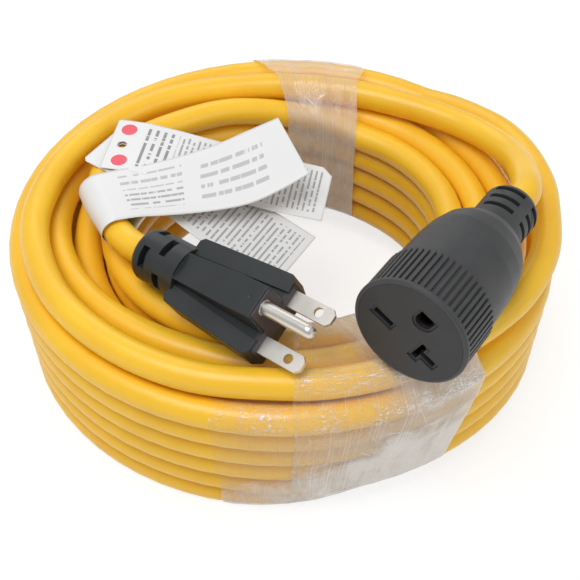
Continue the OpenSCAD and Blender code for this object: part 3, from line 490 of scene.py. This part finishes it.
# Where along a wrap of film its crest lies, the crests of the two top turns, where white glints are painted, and its
# inner wall
FILM_CREST = (63, 110)
FILM_PAINTED_GLINTS = ((64, 72), (78, 86))
FILM_INNER = (112.0, 124.0)
INK = (0.10, 0.10, 0.11)


class Nodes:
    """Short ways to place and link the nodes of a material or a group."""

    def __init__(self, tree):
        self.tree = tree

    def put(self, node, key, value):
        """Sets an input of a node to a value, or links it to a socket."""
        if isinstance(value, bpy.types.NodeSocket):
            self.tree.links.new(value, node.inputs[key])
        else:
            node.inputs[key].default_value = value

    def add(self, kind, inputs=None, **settings):
        """A node with its settings and its inputs."""
        node = self.tree.nodes.new(kind)
        for key, value in settings.items():
            setattr(node, key, value)
        for key, value in (inputs or {}).items():
            self.put(node, key, value)
        return node

    def math(self, operation, a, b=0.0):
        return self.add("ShaderNodeMath", {0: a, 1: b}, operation=operation).outputs[0]

    def times(self, a, b):
        return self.math("MULTIPLY", a, b)

    def plus(self, a, b):
        return self.math("ADD", a, b)

    def fade(self, value, low, high, to_low=0.0, to_high=1.0):
        """Maps a value from one range to another, held at both ends."""
        return self.add("ShaderNodeMapRange", {"Value": value, "From Min": low, "From Max": high,
                                               "To Min": to_low, "To Max": to_high}).outputs[0]

    def mix(self, share, a, b):
        """A colour between two."""
        node = self.add("ShaderNodeMix", data_type="RGBA")
        self.put(node, 0, share)
        for key, colour in ((6, a), (7, b)):
            self.put(node, key, colour if isinstance(colour, bpy.types.NodeSocket) else (*colour, 1.0))
        return node.outputs[2]

    def clouded(self, colour, place, grain, spread, tones):
        """A colour that wanders softly between a darker and a paler tone. `grain` is the scale, detail and roughness
        of the cloud, and `spread` is the part of its range that is used."""
        dark, pale = (tuple(min(1.0, c * tone) for c in colour) for tone in tones)
        return self.mix(self.fade(self.noise(place, *grain), *spread), dark, pale)

    def noise(self, place, scale, detail=3.0, roughness=0.5, distortion=0.0):
        return self.add("ShaderNodeTexNoise", {"Vector": place, "Scale": scale, "Detail": detail,
                                               "Roughness": roughness, "Distortion": distortion}).outputs["Fac"]

    def stretched(self, place, scale):
        """A texture place scaled apart along its three axes."""
        return self.add("ShaderNodeMapping", {"Vector": place, "Scale": scale}).outputs[0]

    def bump(self, height, strength, distance):
        return self.add("ShaderNodeBump", {"Height": height, "Strength": strength, "Distance": distance}).outputs[0]

    def group(self, tree, **inputs):
        node = self.tree.nodes.new("ShaderNodeGroup")
        node.node_tree = tree
        for key, value in inputs.items():
            self.put(node, key.replace("_", " "), value)
        return node


def new_group(name, inputs, outputs):
    """An empty shader node group with number sockets, and its Nodes, its input and its output."""
    tree = bpy.data.node_groups.new(name, "ShaderNodeTree")
    for title, default in inputs:
        socket = tree.interface.new_socket(name=title, in_out="INPUT", socket_type="NodeSocketFloat")
        socket.default_value = default
    for title in outputs:
        tree.interface.new_socket(name=title, in_out="OUTPUT", socket_type="NodeSocketFloat")
    nodes = Nodes(tree)
    return tree, nodes, nodes.add("NodeGroupInput"), nodes.add("NodeGroupOutput")


def moulded_grain_group():
    """Fine grain and soft handling marks, which moulded plastic and bare metal share."""
    tree, n, got, give = new_group(
        "moulded_grain", [("Grain Size", 0.4), ("Roughness", 0.5), ("Spread", 0.1)], ["Roughness", "Height"])
    place = n.add("ShaderNodeTexCoord").outputs["Object"]
    fine = n.noise(place, n.math("DIVIDE", 1000.0, got.outputs["Grain Size"]), 2.0, 0.6)
    broad = n.noise(place, 90.0, 4.0, 0.6)
    swing = n.times(n.math("SUBTRACT", broad, 0.5), n.times(got.outputs["Spread"], 2.0))
    tree.links.new(n.plus(got.outputs["Roughness"], swing), give.inputs["Roughness"])
    tree.links.new(n.plus(fine, n.times(broad, 0.3)), give.inputs["Height"])
    return tree


def shared_group(name, build):
    return bpy.data.node_groups.get(name) or build()


def fresh_nodes(owner):
    """The Nodes of a material or a world that has none left of its own."""
    owner.use_nodes = True
    owner.node_tree.nodes.clear()
    return Nodes(owner.node_tree)


def new_material(name, **sockets):
    """A material with one Principled shader, its sockets set, and its Nodes."""
    made = bpy.data.materials.new(name)
    nodes = fresh_nodes(made)
    shader = nodes.add("ShaderNodeBsdfPrincipled")
    out = nodes.add("ShaderNodeOutputMaterial")
    made.node_tree.links.new(shader.outputs[0], out.inputs[0])
    for key, value in sockets.items():
        socket = shader.inputs[key.replace("_", " ")]
        socket.default_value = (*value, 1.0) if socket.type == "RGBA" else value
    return made, nodes, shader


def link(nodes, source, shader, name):
    nodes.tree.links.new(source, shader.inputs[name])


def grained(nodes, shader, grain, roughness, spread):
    """Gives a shader the roughness of the shared grain, and returns the grain's height."""
    node = nodes.group(shared_group("moulded_grain", moulded_grain_group),
                       Grain_Size=grain, Roughness=roughness, Spread=spread)
    link(nodes, node.outputs["Roughness"], shader, "Roughness")
    return node.outputs["Height"]


def jacket_material(settings):
    """Soft satin vinyl, a little cloudy in colour, with the faint drawn lines of extruding."""
    made, n, shader = new_material("cord_jacket", Roughness=0.36, Coat_Weight=0.1, Coat_Roughness=0.18,
                                   Subsurface_Weight=0.12, Subsurface_Scale=0.004,
                                   Subsurface_Radius=(1.0, 0.5, 0.12))
    space = n.add("ShaderNodeTexCoord")
    link(n, n.clouded(settings.jacket, space.outputs["Object"], (26.0, 3.0, 0.55), (0.35, 0.65), (0.93, 1.03)),
         shader, "Base Color")
    drawn = n.noise(n.stretched(space.outputs["UV"], (34.0, 0.02, 1.0)), 1.0, 2.0, 0.5)
    waves = n.noise(n.stretched(space.outputs["UV"], (2.0, 0.06, 1.0)), 1.0, 1.0, 0.5)
    fine = n.noise(space.outputs["Object"], 1500.0, 2.0, 0.6)
    height = n.plus(n.times(drawn, 0.15), n.plus(waves, n.times(fine, 0.05)))
    link(n, n.bump(height, 0.25, 0.0006), shader, "Normal")
    link(n, n.fade(n.noise(space.outputs["Object"], 60.0, 4.0, 0.6), 0.3, 0.7, 0.33, 0.42), shader, "Roughness")
    return made


def moulded_material(name, colour, roughness, grain=0.5):
    """Moulded plastic with fine grain and slightly worn edges."""
    made, n, shader = new_material(name)
    place = n.add("ShaderNodeTexCoord").outputs["Object"]
    link(n, n.clouded(colour, place, (70.0, 3.0, 0.6), (0.3, 0.7), (0.85, 1.15)), shader, "Base Color")
    bumped = n.bump(grained(n, shader, grain, roughness, 0.08), 0.6, GRAIN_DEPTH)
    n.put(bumped.node, "Normal", n.add("ShaderNodeBevel", {"Radius": WORN_EDGE}, samples=4).outputs[0])
    link(n, bumped, shader, "Normal")
    return made


def metal_material(name, colour, roughness):
    """Plated or bare metal with fine drawn lines."""
    made, n, shader = new_material(name, Metallic=1.0)
    place = n.add("ShaderNodeTexCoord").outputs["Object"]
    link(n, n.clouded(colour, place, (160.0, 4.0, 0.65), (0.3, 0.7), (0.9, 1.04)), shader, "Base Color")
    link(n, n.bump(grained(n, shader, 1.2, roughness, 0.1), 0.3, METAL_DEPTH), shader, "Normal")
    return made


def film_material(name, settings, looks, seed=0.0):
    """Clear stretch film: faint drawn lines across it, painted highlights along its creases, painted glints on the
    crests of the top turns, and a milky band at its foot. The texture places are millimetres round the pile from its
    outer foot, and millimetres across the wrap. Between the places "from" and "to" across it, `looks` turns from the
    first to the second of
    "spread", what the film hides, and of "foot", how high it is milky. The rest scales its crest and inner wall, its
    painted glints, and its drawn lines together with the painted highlights on its creases."""
    made, n, shader = new_material(name, IOR=1.5, Specular_IOR_Level=0.8, Coat_Roughness=0.05, Roughness=0.24)
    texture = n.add("ShaderNodeTexCoord").outputs["UV"]
    place = n.add("ShaderNodeVectorMath", {0: texture, 1: (seed, seed, 0.0)}).outputs[0]
    spot = n.add("ShaderNodeSeparateXYZ", {"Vector": texture}).outputs
    round_pile, across = spot["X"], spot["Y"]

    def band(low, high, soft):
        return n.times(n.fade(round_pile, low - soft, low + soft),
                       n.fade(round_pile, high - soft, high + soft, 1.0, 0.0))

    lines = n.noise(n.stretched(place, (0.012, 1.3, 1.0)), 1.0, 2.0, 0.6)
    soft = n.noise(n.stretched(place, (0.03, 0.10, 1.0)), 1.0, 3.0, 0.6)
    blotch = n.noise(place, 0.07, 4.0, 0.65, 0.4)
    slant = n.add("ShaderNodeMapping", {"Vector": place, "Rotation": (0, 0, 0.35), "Scale": (0.045, 0.17, 1.0)})
    facets = n.add("ShaderNodeTexVoronoi", {"Vector": slant.outputs[0], "Scale": 1.0},
                   feature="DISTANCE_TO_EDGE", voronoi_dimensions="2D").outputs["Distance"]
    crease = n.fade(facets, 0.0, 0.022, 1.0, 0.0)
    # how much the clear film hides: from one edge to the other, less over the crest and more on the inner wall
    hides = n.fade(across, looks["from"], looks["to"], *looks["spread"])
    on_crest = n.times(band(*FILM_CREST, 5),
                       n.fade(across, looks["crest_to"] - 14, looks["crest_to"], 1.0, 0.0))
    hides = n.times(hides, n.fade(on_crest, 0.0, 1.0, 1.0, looks["crest"]))
    hides = n.plus(hides, n.fade(round_pile, *FILM_INNER, 0.0, looks["inside"]))
    hides = n.times(hides, n.fade(blotch, 0.3, 0.7, 0.75, 1.22))
    rim = n.plus(n.times(n.math("SUBTRACT", blotch, 0.5), 26.0),
                 n.fade(across, looks["from"], looks["to"], *looks["foot"]))
    foot = n.times(n.fade(n.math("SUBTRACT", rim, round_pile), -6.0, 6.0), n.fade(soft, 0.3, 0.7, 0.2, 0.5))
    streak = n.times(n.fade(lines, 0.54, 0.70), 0.22 * looks["marks"])
    # painted highlights: the creases are whitened and made more opaque as if they caught the lamp, scaled with the
    # drawn lines by "marks"
    painted_glare = n.times(crease, n.fade(soft, 0.46, 0.6, 0.0, 0.4 * looks["marks"]))
    # painted glints: white crumpled spots, made more opaque, along the crests of the top turns
    crumple = n.noise(n.stretched(place, (0.9, 0.38, 1.0)), 1.0, 5.0, 0.75, 1.4)
    ripple = n.noise(n.stretched(place, (1.9, 0.16, 1.0)), 1.0, 4.0, 0.7, 0.5)
    painted_glint = n.plus(n.times(n.fade(crumple, 0.51, 0.60), band(*FILM_PAINTED_GLINTS[0], 3)),
                   n.times(n.fade(ripple, 0.53, 0.62), band(*FILM_PAINTED_GLINTS[1], 2)))
    painted_glint = n.times(n.times(painted_glint, n.fade(blotch, 0.40, 0.56)), looks["painted_glint"])
    # how far the film turns milky: its real milky foot and drawn lines, plus the painted highlights and painted
    # glints
    pale = n.math("MINIMUM", n.plus(n.plus(foot, painted_glare), n.plus(streak, painted_glint)), 1.0)
    link(n, n.math("MINIMUM", n.plus(hides, pale), 0.93), shader, "Alpha")
    link(n, n.mix(pale, tuple(settings.tint), tuple(settings.haze_and_painted_glints)), shader, "Base Color")
    link(n, n.fade(round_pile, 56.0, 70.0, 0.15, 1.0), shader, "Coat Weight")
    height = n.plus(n.times(soft, 1.3), n.times(crumple, 0.22))
    link(n, n.bump(height, 0.8, 0.0014), shader, "Normal")
    return made


def print_mask_group():
    """Plain grey bars in rows, as the print of a label looks from too far away to read."""
    tree, n, got, give = new_group(
        "printed_rows", [("Along", 0.0), ("Across", 0.0), ("Row", 3.0), ("Seed", 0.0)], ["Mask"])
    rows = n.math("DIVIDE", got.outputs["Across"], got.outputs["Row"])
    row = n.math("FLOOR", rows)
    inside = n.math("FRACT", rows)
    tall = n.times(n.fade(inside, 0.28, 0.34), n.fade(inside, 0.66, 0.72, 1.0, 0.0))
    spot = n.add("ShaderNodeCombineXYZ", {"X": n.times(got.outputs["Along"], 0.55),
                                          "Y": n.times(row, 7.3), "Z": got.outputs["Seed"]})
    words = n.fade(n.noise(spot.outputs[0], 1.0, 1.0, 0.5), 0.40, 0.44)
    tree.links.new(n.times(tall, words), give.inputs["Mask"])
    return tree


def box_mask(n, along, across, x0, x1, y0, y1):
    """1 inside a rectangle of a sheet."""
    inside = n.times(n.fade(along, x0, x0 + 0.3), n.fade(along, x1, x1 + 0.3, 1.0, 0.0))
    return n.times(inside, n.times(n.fade(across, y0, y0 + 0.3), n.fade(across, y1, y1 + 0.3, 1.0, 0.0)))


def paper_material(name, settings, printed, dots=()):
    """White coated paper with soft ripples, plain grey bars where print would be, and round dots. Each block of
    bars has its start and end along the sheet and across it, its row size, which is negative where the rows run
    across the sheet, a seed and its greyness."""
    made, n, shader = new_material(name, Roughness=0.42, Coat_Weight=0.15, Coat_Roughness=0.2)
    texture = n.add("ShaderNodeTexCoord")
    place = n.add("ShaderNodeSeparateXYZ", {"Vector": texture.outputs["UV"]}).outputs
    colour = n.clouded(settings.paper, texture.outputs["Object"], (60.0, 3.0, 0.5), (0.3, 0.7), (0.985, 1.0))
    for x0, x1, y0, y1, row, seed, grey in printed:
        over, down = ("X", "Y") if row > 0 else ("Y", "X")
        mask = n.group(shared_group("printed_rows", print_mask_group), Along=place[over], Across=place[down],
                       Row=abs(row), Seed=seed)
        mask = n.times(mask.outputs[0], box_mask(n, place["X"], place["Y"], x0, x1, y0, y1))
        colour = n.mix(n.times(mask, grey), colour, INK)
    for x, y, radius in dots:
        away = n.add("ShaderNodeVectorMath", {0: texture.outputs["UV"], 1: (x, y, 0.0)}, operation="DISTANCE")
        colour = n.mix(n.fade(away.outputs["Value"], radius, radius + 0.15, 1.0, 0.0), colour, settings.dot)
    link(n, colour, shader, "Base Color")
    ripple = n.noise(n.stretched(texture.outputs["UV"], (0.05, 0.02, 1.0)), 1.0, 2.0, 0.5)
    fibre = n.noise(texture.outputs["Object"], 3000.0, 2.0, 0.5)
    link(n, n.bump(n.plus(ripple, n.times(fibre, 0.02)), 0.25, 0.001), shader, "Normal")
    return made


def finish_nodes(names, material):
    """Gives CAD nodes a finish."""
    for name in names:
        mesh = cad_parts[name].data
        mesh.materials.clear()
        mesh.materials.append(material)


# ---- sizes and colours a user would change ----
def colour_property(name, description, default):
    return FloatVectorProperty(name=name, description=description, default=default, subtype="COLOR", size=3,
                               min=0.0, max=1.0)


class CordSettings(bpy.types.PropertyGroup):
    """Looks of the cord."""

    jacket: colour_property("Jacket", "Colour of the jacket", (1.0, 0.575, 0.028))
    sides: IntProperty(name="Sides", description="Faces round the cord", default=22, min=8, max=64)


class PlugSettings(bpy.types.PropertyGroup):
    """Looks of the plug."""

    moulding: colour_property("Moulding", "Colour of the plug's moulding", (0.022, 0.026, 0.028))
    bridge: colour_property("Bridge", "Colour of the hard bridge", (0.055, 0.045, 0.052))
    plating: colour_property("Plating", "Colour of the blades and the pin", (0.74, 0.71, 0.66))


class ConnectorSettings(bpy.types.PropertyGroup):
    """Looks of the connector."""

    moulding: colour_property("Moulding", "Colour of the connector's moulding", (0.046, 0.047, 0.049))
    face: colour_property("Face", "Colour of the hard face", (0.022, 0.022, 0.025))
    # darkened far below brass's own colour: painted shade, for contacts lying deep in the face's slots
    brass_painted_shade: colour_property("Brass", "Colour of the contacts", (0.14, 0.095, 0.04))


class FilmSettings(bpy.types.PropertyGroup):
    """Looks of the stretch film."""

    # the film's milky colour, which is also the colour of its painted glints and painted highlights on creases
    haze_and_painted_glints: colour_property("Haze", "Colour of the film where it is milky", (0.96, 0.93, 0.89))
    tint: colour_property("Tint", "Colour of the film where it is clear", (0.74, 0.67, 0.58))
    cover: FloatProperty(name="Cover", description="How much the clear film hides", default=0.5, min=0.0, max=1.0)


class PaperSettings(bpy.types.PropertyGroup):
    """Looks of the label and the tags."""

    paper: colour_property("Paper", "Colour of the paper", (0.81, 0.81, 0.81))
    dot: colour_property("Dot", "Colour of the dots on the upper tag", (0.84, 0.09, 0.13))


class StageSettings(bpy.types.PropertyGroup):
    """The stage round the cord."""

    key_power: FloatProperty(name="Key", description="Power of the large lamp overhead", default=6.2, min=0.0,
                             unit="POWER")
    world: FloatProperty(name="World", description="Strength of the light from all round", default=0.5, min=0.0)


# ---- operators ----
CAMERA_TILT, CAMERA_AWAY = 47, 0.48  # degrees down, and metres from what it is aimed at
CAMERA_AIM = (0, 0, 40)
LOOK_RIGHT, LOOK_DOWN = 0.00509, 0.02282  # how far off its aim it looks
CAMERA_LENS, CAMERA_SENSOR = 75.6, 36
FLOOR_HALF = 8
FLOOR_GREY, FLOOR_GLOW = 0.32, 0.76  # the floor's colour and its own light, as the camera sees it
FLOOR_BOUNCE = 0.8          # its colour for the light that it throws back
# Each lamp: its name, place and size, and its share of the key lamp's power
LAMPS = (("key_lamp", (-0.25, -0.25, 1.1), 0.7, 1.0),
         ("side_lamp", (0.9, -0.5, 0.7), 0.6, 0.25),
         ("back_lamp", (-0.2, 1.0, 0.8), 0.8, 0.3))
LAMPS_AIM = (0, 0, 0.04)
CORD_UNEVEN = 0.012         # the share by which the cord's thickness wanders


class POWERCORD_OT_camera(bpy.types.Operator):
    """Make the camera"""

    bl_idname = "power_cord.camera"
    bl_label = "Camera"

    def execute(self, context):
        camera = bpy.data.objects.new("camera", bpy.data.cameras.new("camera"))
        context.scene.collection.objects.link(camera)
        tilt = math.radians(CAMERA_TILT)
        ahead = Vector((0.0, math.cos(tilt), -math.sin(tilt)))
        up = Vector((0.0, math.sin(tilt), math.cos(tilt)))
        camera.location = metres(CAMERA_AIM) - CAMERA_AWAY * ahead
        look = ahead + LOOK_RIGHT * Vector((1, 0, 0)) - LOOK_DOWN * up
        camera.rotation_mode = "QUATERNION"
        camera.rotation_quaternion = look.to_track_quat("-Z", "Y")
        camera.data.lens = CAMERA_LENS
        camera.data.sensor_width = CAMERA_SENSOR
        context.scene.camera = camera
        return {"FINISHED"}


class POWERCORD_OT_cord(bpy.types.Operator):
    """Make the whole cord as one unbroken jacket"""

    bl_idname = "power_cord.cord"
    bl_label = "Cord"

    def execute(self, context):
        settings = context.scene.power_cord
        route = cord_route()
        radii = [CORD_D / 2 * (1 + CORD_UNEVEN * noise.noise(p * 0.02 + Vector((i * 0.002, 0, 0))))
                 for i, p in enumerate(route)]
        verts, faces, places = tube(route, radii, settings.sides)
        cord = new_piece("cord", verts, faces, jacket_material(settings))
        set_places(cord.data, places)
        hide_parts("cord_coil", "cord_plug_end", "cord_connector_end")
        tuple(metres(on_plug((PLUG_EXIT_X, 0, 0))))
        [tuple(metres(p)) for p in route]
        return {"FINISHED"}


class POWERCORD_OT_plug(bpy.types.Operator):
    """Finish the plug"""

    bl_idname = "power_cord.plug"
    bl_label = "Plug"

    def execute(self, context):
        settings = context.scene.power_plug
        finish_nodes(["plug_body"], moulded_material("plug_moulding", settings.moulding, 0.42))
        finish_nodes(["plug_bridge"], moulded_material("plug_bridge", settings.bridge, 0.5, 0.7))
        finish_nodes(["line_blade_1", "line_blade_2", "ground_pin"],
                     metal_material("plated_blade", settings.plating, 0.36))
        for wire, colour in (("black", (0.02, 0.02, 0.02)), ("white", (0.75, 0.75, 0.74)),
                             ("green", (0.03, 0.25, 0.06))):
            finish_nodes([f"plug_wire_{wire}", f"connector_wire_{wire}"],
                         moulded_material(f"wire_{wire}", colour, 0.4))
        finish_nodes(["plug_copper_ends", "connector_copper_ends"],
                     metal_material("bare_copper", (0.80, 0.36, 0.18), 0.3))
        return {"FINISHED"}


class POWERCORD_OT_connector(bpy.types.Operator):
    """Finish the connector"""

    bl_idname = "power_cord.connector"
    bl_label = "Connector"

    def execute(self, context):
        settings = context.scene.power_connector
        finish_nodes(["connector_body"], moulded_material("connector_moulding", settings.moulding, 0.5))
        finish_nodes(["connector_insert"], moulded_material("connector_face", settings.face, 0.5))
        # the contacts' brass is darkened as painted shade of the slots they sit in
        finish_nodes(["contact_straight", "contact_tee", "contact_ground"],
                     metal_material("contact_brass", settings.brass_painted_shade, 0.3))
        return {"FINISHED"}


class POWERCORD_OT_film(bpy.types.Operator):
    """Make the film wraps"""

    bl_idname = "power_cord.film"
    bl_label = "Film wraps"

    def execute(self, context):
        settings = context.scene.power_film
        route = np.array([tuple(p) for p in cord_route()])
        low, high = FILM_FRONT
        over = FILM_FRONT_OVER
        lap = 0.8       # how far the two parts of the front wrap overlap, in degrees
        turn_in = 2     # how much further round the edge between them is at the inner turns
        wide = math.radians(high - over) * COIL_R
        clear = settings.cover
        # "painted_glint" scales the painted glints on the crests, and "marks" the drawn lines with the painted
        # highlights on creases
        looks = {"from": 0.0, "to": wide * 0.6, "spread": (clear * 0.75, clear * 1.3), "crest": 0.35,
                 "crest_to": wide * 0.62, "inside": 0.0, "foot": (31, 47), "painted_glint": 0.75, "marks": 0.9}
        film_piece("film_front_over", route, (over, high), (over + turn_in, high - 9), True, 1, 1.6,
                   film_material("film_front", settings, looks), "film_wrap_front", skew=4.5)
        looks = {"from": 0.0, "to": 30.0, "spread": (clear * 0.12, clear * 0.55), "crest": 0.6,
                 "crest_to": 80.0, "inside": 0.2, "foot": (17, 28), "painted_glint": 0.8, "marks": 0.35}
        film_piece("film_front_under", route, (low, over + lap), (low, over + turn_in + lap), False, 4, 1.6,
                   film_material("film_front_thin", settings, looks, 60.0), "film_wrap_front")
        looks = {"from": 0.0, "to": 40.0, "spread": (clear * 0.9, clear * 0.9), "crest": 0.7,
                 "crest_to": 80.0, "inside": 0.2, "foot": (4, 4), "painted_glint": 0.7, "marks": 0.8}
        film_piece("film_back", route, (69, 97.5), (58, 88), True, 8, 1.4,
                   film_material("film_back", settings, looks, 140.0), "film_wrap_back", slack=1.5)
        return {"FINISHED"}


class POWERCORD_OT_papers(bpy.types.Operator):
    """Make the label and the tags"""

    bl_idname = "power_cord.papers"
    bl_label = "Label and tags"

    def execute(self, context):
        settings = context.scene.power_papers
        blocks = [(50, 74, 4, 12, 2.6, 1, 0.55), (50, 74, 14, 22, 4.0, 2, 0.4), (80, 104, 5, 22, 4.2, 3, 0.4)]
        paper_piece("label", label_sheet, (LABEL_LONG, LABEL_WIDE), (92, 20), (0, 0, 0, 0), None,
                    paper_material("label_print", settings, blocks), "cord_label")
        middle, hole = TAG_WIDE / 2, TAG_HOLE - DOTTED_CUT
        dots = [(hole + 0.5, middle + 8.7, 3.0), (hole + 1.2, middle - 8.8, 3.0)]
        dotted = [(12, 24, 3, 25, -3.0, 5, 0.75), (25, 82, 3, 25, -2.0, 6, 0.62)]
        plain = [(19, 85, 3, 25, -2.1, 9, 0.6)]
        for name, lay, cut, rows, clips, material, node in (
                ("tag_dotted", DOTTED, DOTTED_CUT, 124, (0.8, 0, 0.8, 4),
                 paper_material("tag_print_dots", settings, dotted, dots), "safety_tag_dotted"),
                ("tag_plain", PLAIN, PLAIN_CUT, 127, (1.5, 0, 1.5, 0),
                 paper_material("tag_print", settings, plain), "safety_tag_plain")):
            paper_piece(name, tag_sheet(lay, cut), (TAG_LONG - cut, TAG_WIDE), (rows, 40), clips,
                        ((TAG_HOLE - cut, middle), TAG_HOLE_R), material, node)
        return {"FINISHED"}


class POWERCORD_OT_stage(bpy.types.Operator):
    """Make the floor, the world and the lamps"""

    bl_idname = "power_cord.stage"
    bl_label = "Stage"

    def execute(self, context):
        settings = context.scene.power_stage
        mesh = bpy.data.meshes.new("floor")
        h = FLOOR_HALF
        mesh.from_pydata([(-h, -h, 0), (h, -h, 0), (h, h, 0), (-h, h, 0)], [], [(0, 1, 2, 3)])
        floor = bpy.data.objects.new("floor", mesh)
        context.scene.collection.objects.link(floor)
        made = bpy.data.materials.new("floor")
        n = fresh_nodes(made)
        seen = n.add("ShaderNodeLightPath")
        shown = n.math("MAXIMUM", seen.outputs["Is Camera Ray"],
                       n.math("MAXIMUM", seen.outputs["Is Glossy Ray"], seen.outputs["Is Transmission Ray"]))
        matt = n.add("ShaderNodeBsdfDiffuse", {"Color": (*[FLOOR_GREY] * 3, 1)})
        glow = n.add("ShaderNodeEmission", {"Color": (1, 1, 1, 1), "Strength": FLOOR_GLOW})
        both = n.add("ShaderNodeAddShader", {0: matt.outputs[0], 1: glow.outputs[0]})
        plain = n.add("ShaderNodeBsdfDiffuse", {"Color": (*[FLOOR_BOUNCE] * 3, 1)})
        pick = n.add("ShaderNodeMixShader", {0: shown, 1: plain.outputs[0], 2: both.outputs[0]})
        out = n.add("ShaderNodeOutputMaterial")
        made.node_tree.links.new(pick.outputs[0], out.inputs[0])
        mesh.materials.append(made)

        world = bpy.data.worlds.new("studio")
        context.scene.world = world
        n = fresh_nodes(world)
        seen = n.add("ShaderNodeLightPath")
        shown = n.math("MAXIMUM", seen.outputs["Is Camera Ray"], seen.outputs["Is Transmission Ray"])
        strength = n.fade(shown, 0.0, 1.0, settings.world, 1.0)
        back = n.add("ShaderNodeBackground", {"Color": (1, 1, 1, 1), "Strength": strength})
        out = n.add("ShaderNodeOutputWorld")
        world.node_tree.links.new(back.outputs[0], out.inputs[0])

        for name, place, size, share in LAMPS:
            lamp = bpy.data.lights.new(name, "AREA")
            lamp.shape, lamp.size, lamp.energy = "DISK", size, settings.key_power * share
            holder = bpy.data.objects.new(name, lamp)
            holder.location = place
            holder.rotation_mode = "QUATERNION"
            holder.rotation_quaternion = (Vector(LAMPS_AIM) - Vector(place)).to_track_quat("-Z", "Y")
            context.scene.collection.objects.link(holder)
        context.scene.view_settings.view_transform = "Standard"
        return {"FINISHED"}


class POWERCORD_PT_panel(bpy.types.Panel):
    """Lists the pieces and the stage"""

    bl_label = "Power Cord"
    bl_idname = "POWERCORD_PT_panel"
    bl_space_type = "VIEW_3D"
    bl_region_type = "UI"
    bl_category = "Power Cord"

    def draw(self, context):
        for settings, operator in ((None, "camera"), ("power_cord", "cord"), ("power_plug", "plug"),
                                   ("power_connector", "connector"), ("power_film", "film"),
                                   ("power_papers", "papers"), ("power_stage", "stage")):
            box = self.layout.box()
            if settings:
                group = getattr(context.scene, settings)
                for name in group.bl_rna.properties.keys():
                    if name not in ("rna_type", "name"):
                        box.prop(group, name)
            box.operator("power_cord." + operator)


SETTINGS = {"power_cord": CordSettings, "power_plug": PlugSettings, "power_connector": ConnectorSettings,
            "power_film": FilmSettings, "power_papers": PaperSettings, "power_stage": StageSettings}
OPERATORS = (POWERCORD_OT_camera, POWERCORD_OT_cord, POWERCORD_OT_plug, POWERCORD_OT_connector, POWERCORD_OT_film,
             POWERCORD_OT_papers, POWERCORD_OT_stage)


def register():
    for name, group in SETTINGS.items():
        bpy.utils.register_class(group)
        setattr(bpy.types.Scene, name, PointerProperty(type=group))
    for operator in OPERATORS:
        bpy.utils.register_class(operator)
    bpy.utils.register_class(POWERCORD_PT_panel)


def unregister():
    bpy.utils.unregister_class(POWERCORD_PT_panel)
    for operator in reversed(OPERATORS):
        bpy.utils.unregister_class(operator)
    for name, group in SETTINGS.items():
        delattr(bpy.types.Scene, name)
        bpy.utils.unregister_class(group)


def main():
    """Makes every piece in order."""
    register()
    for operator in ("camera", "cord", "plug", "connector", "film", "papers", "stage"):
        getattr(bpy.ops.power_cord, operator)()


if __name__ == "__main__":
    main()
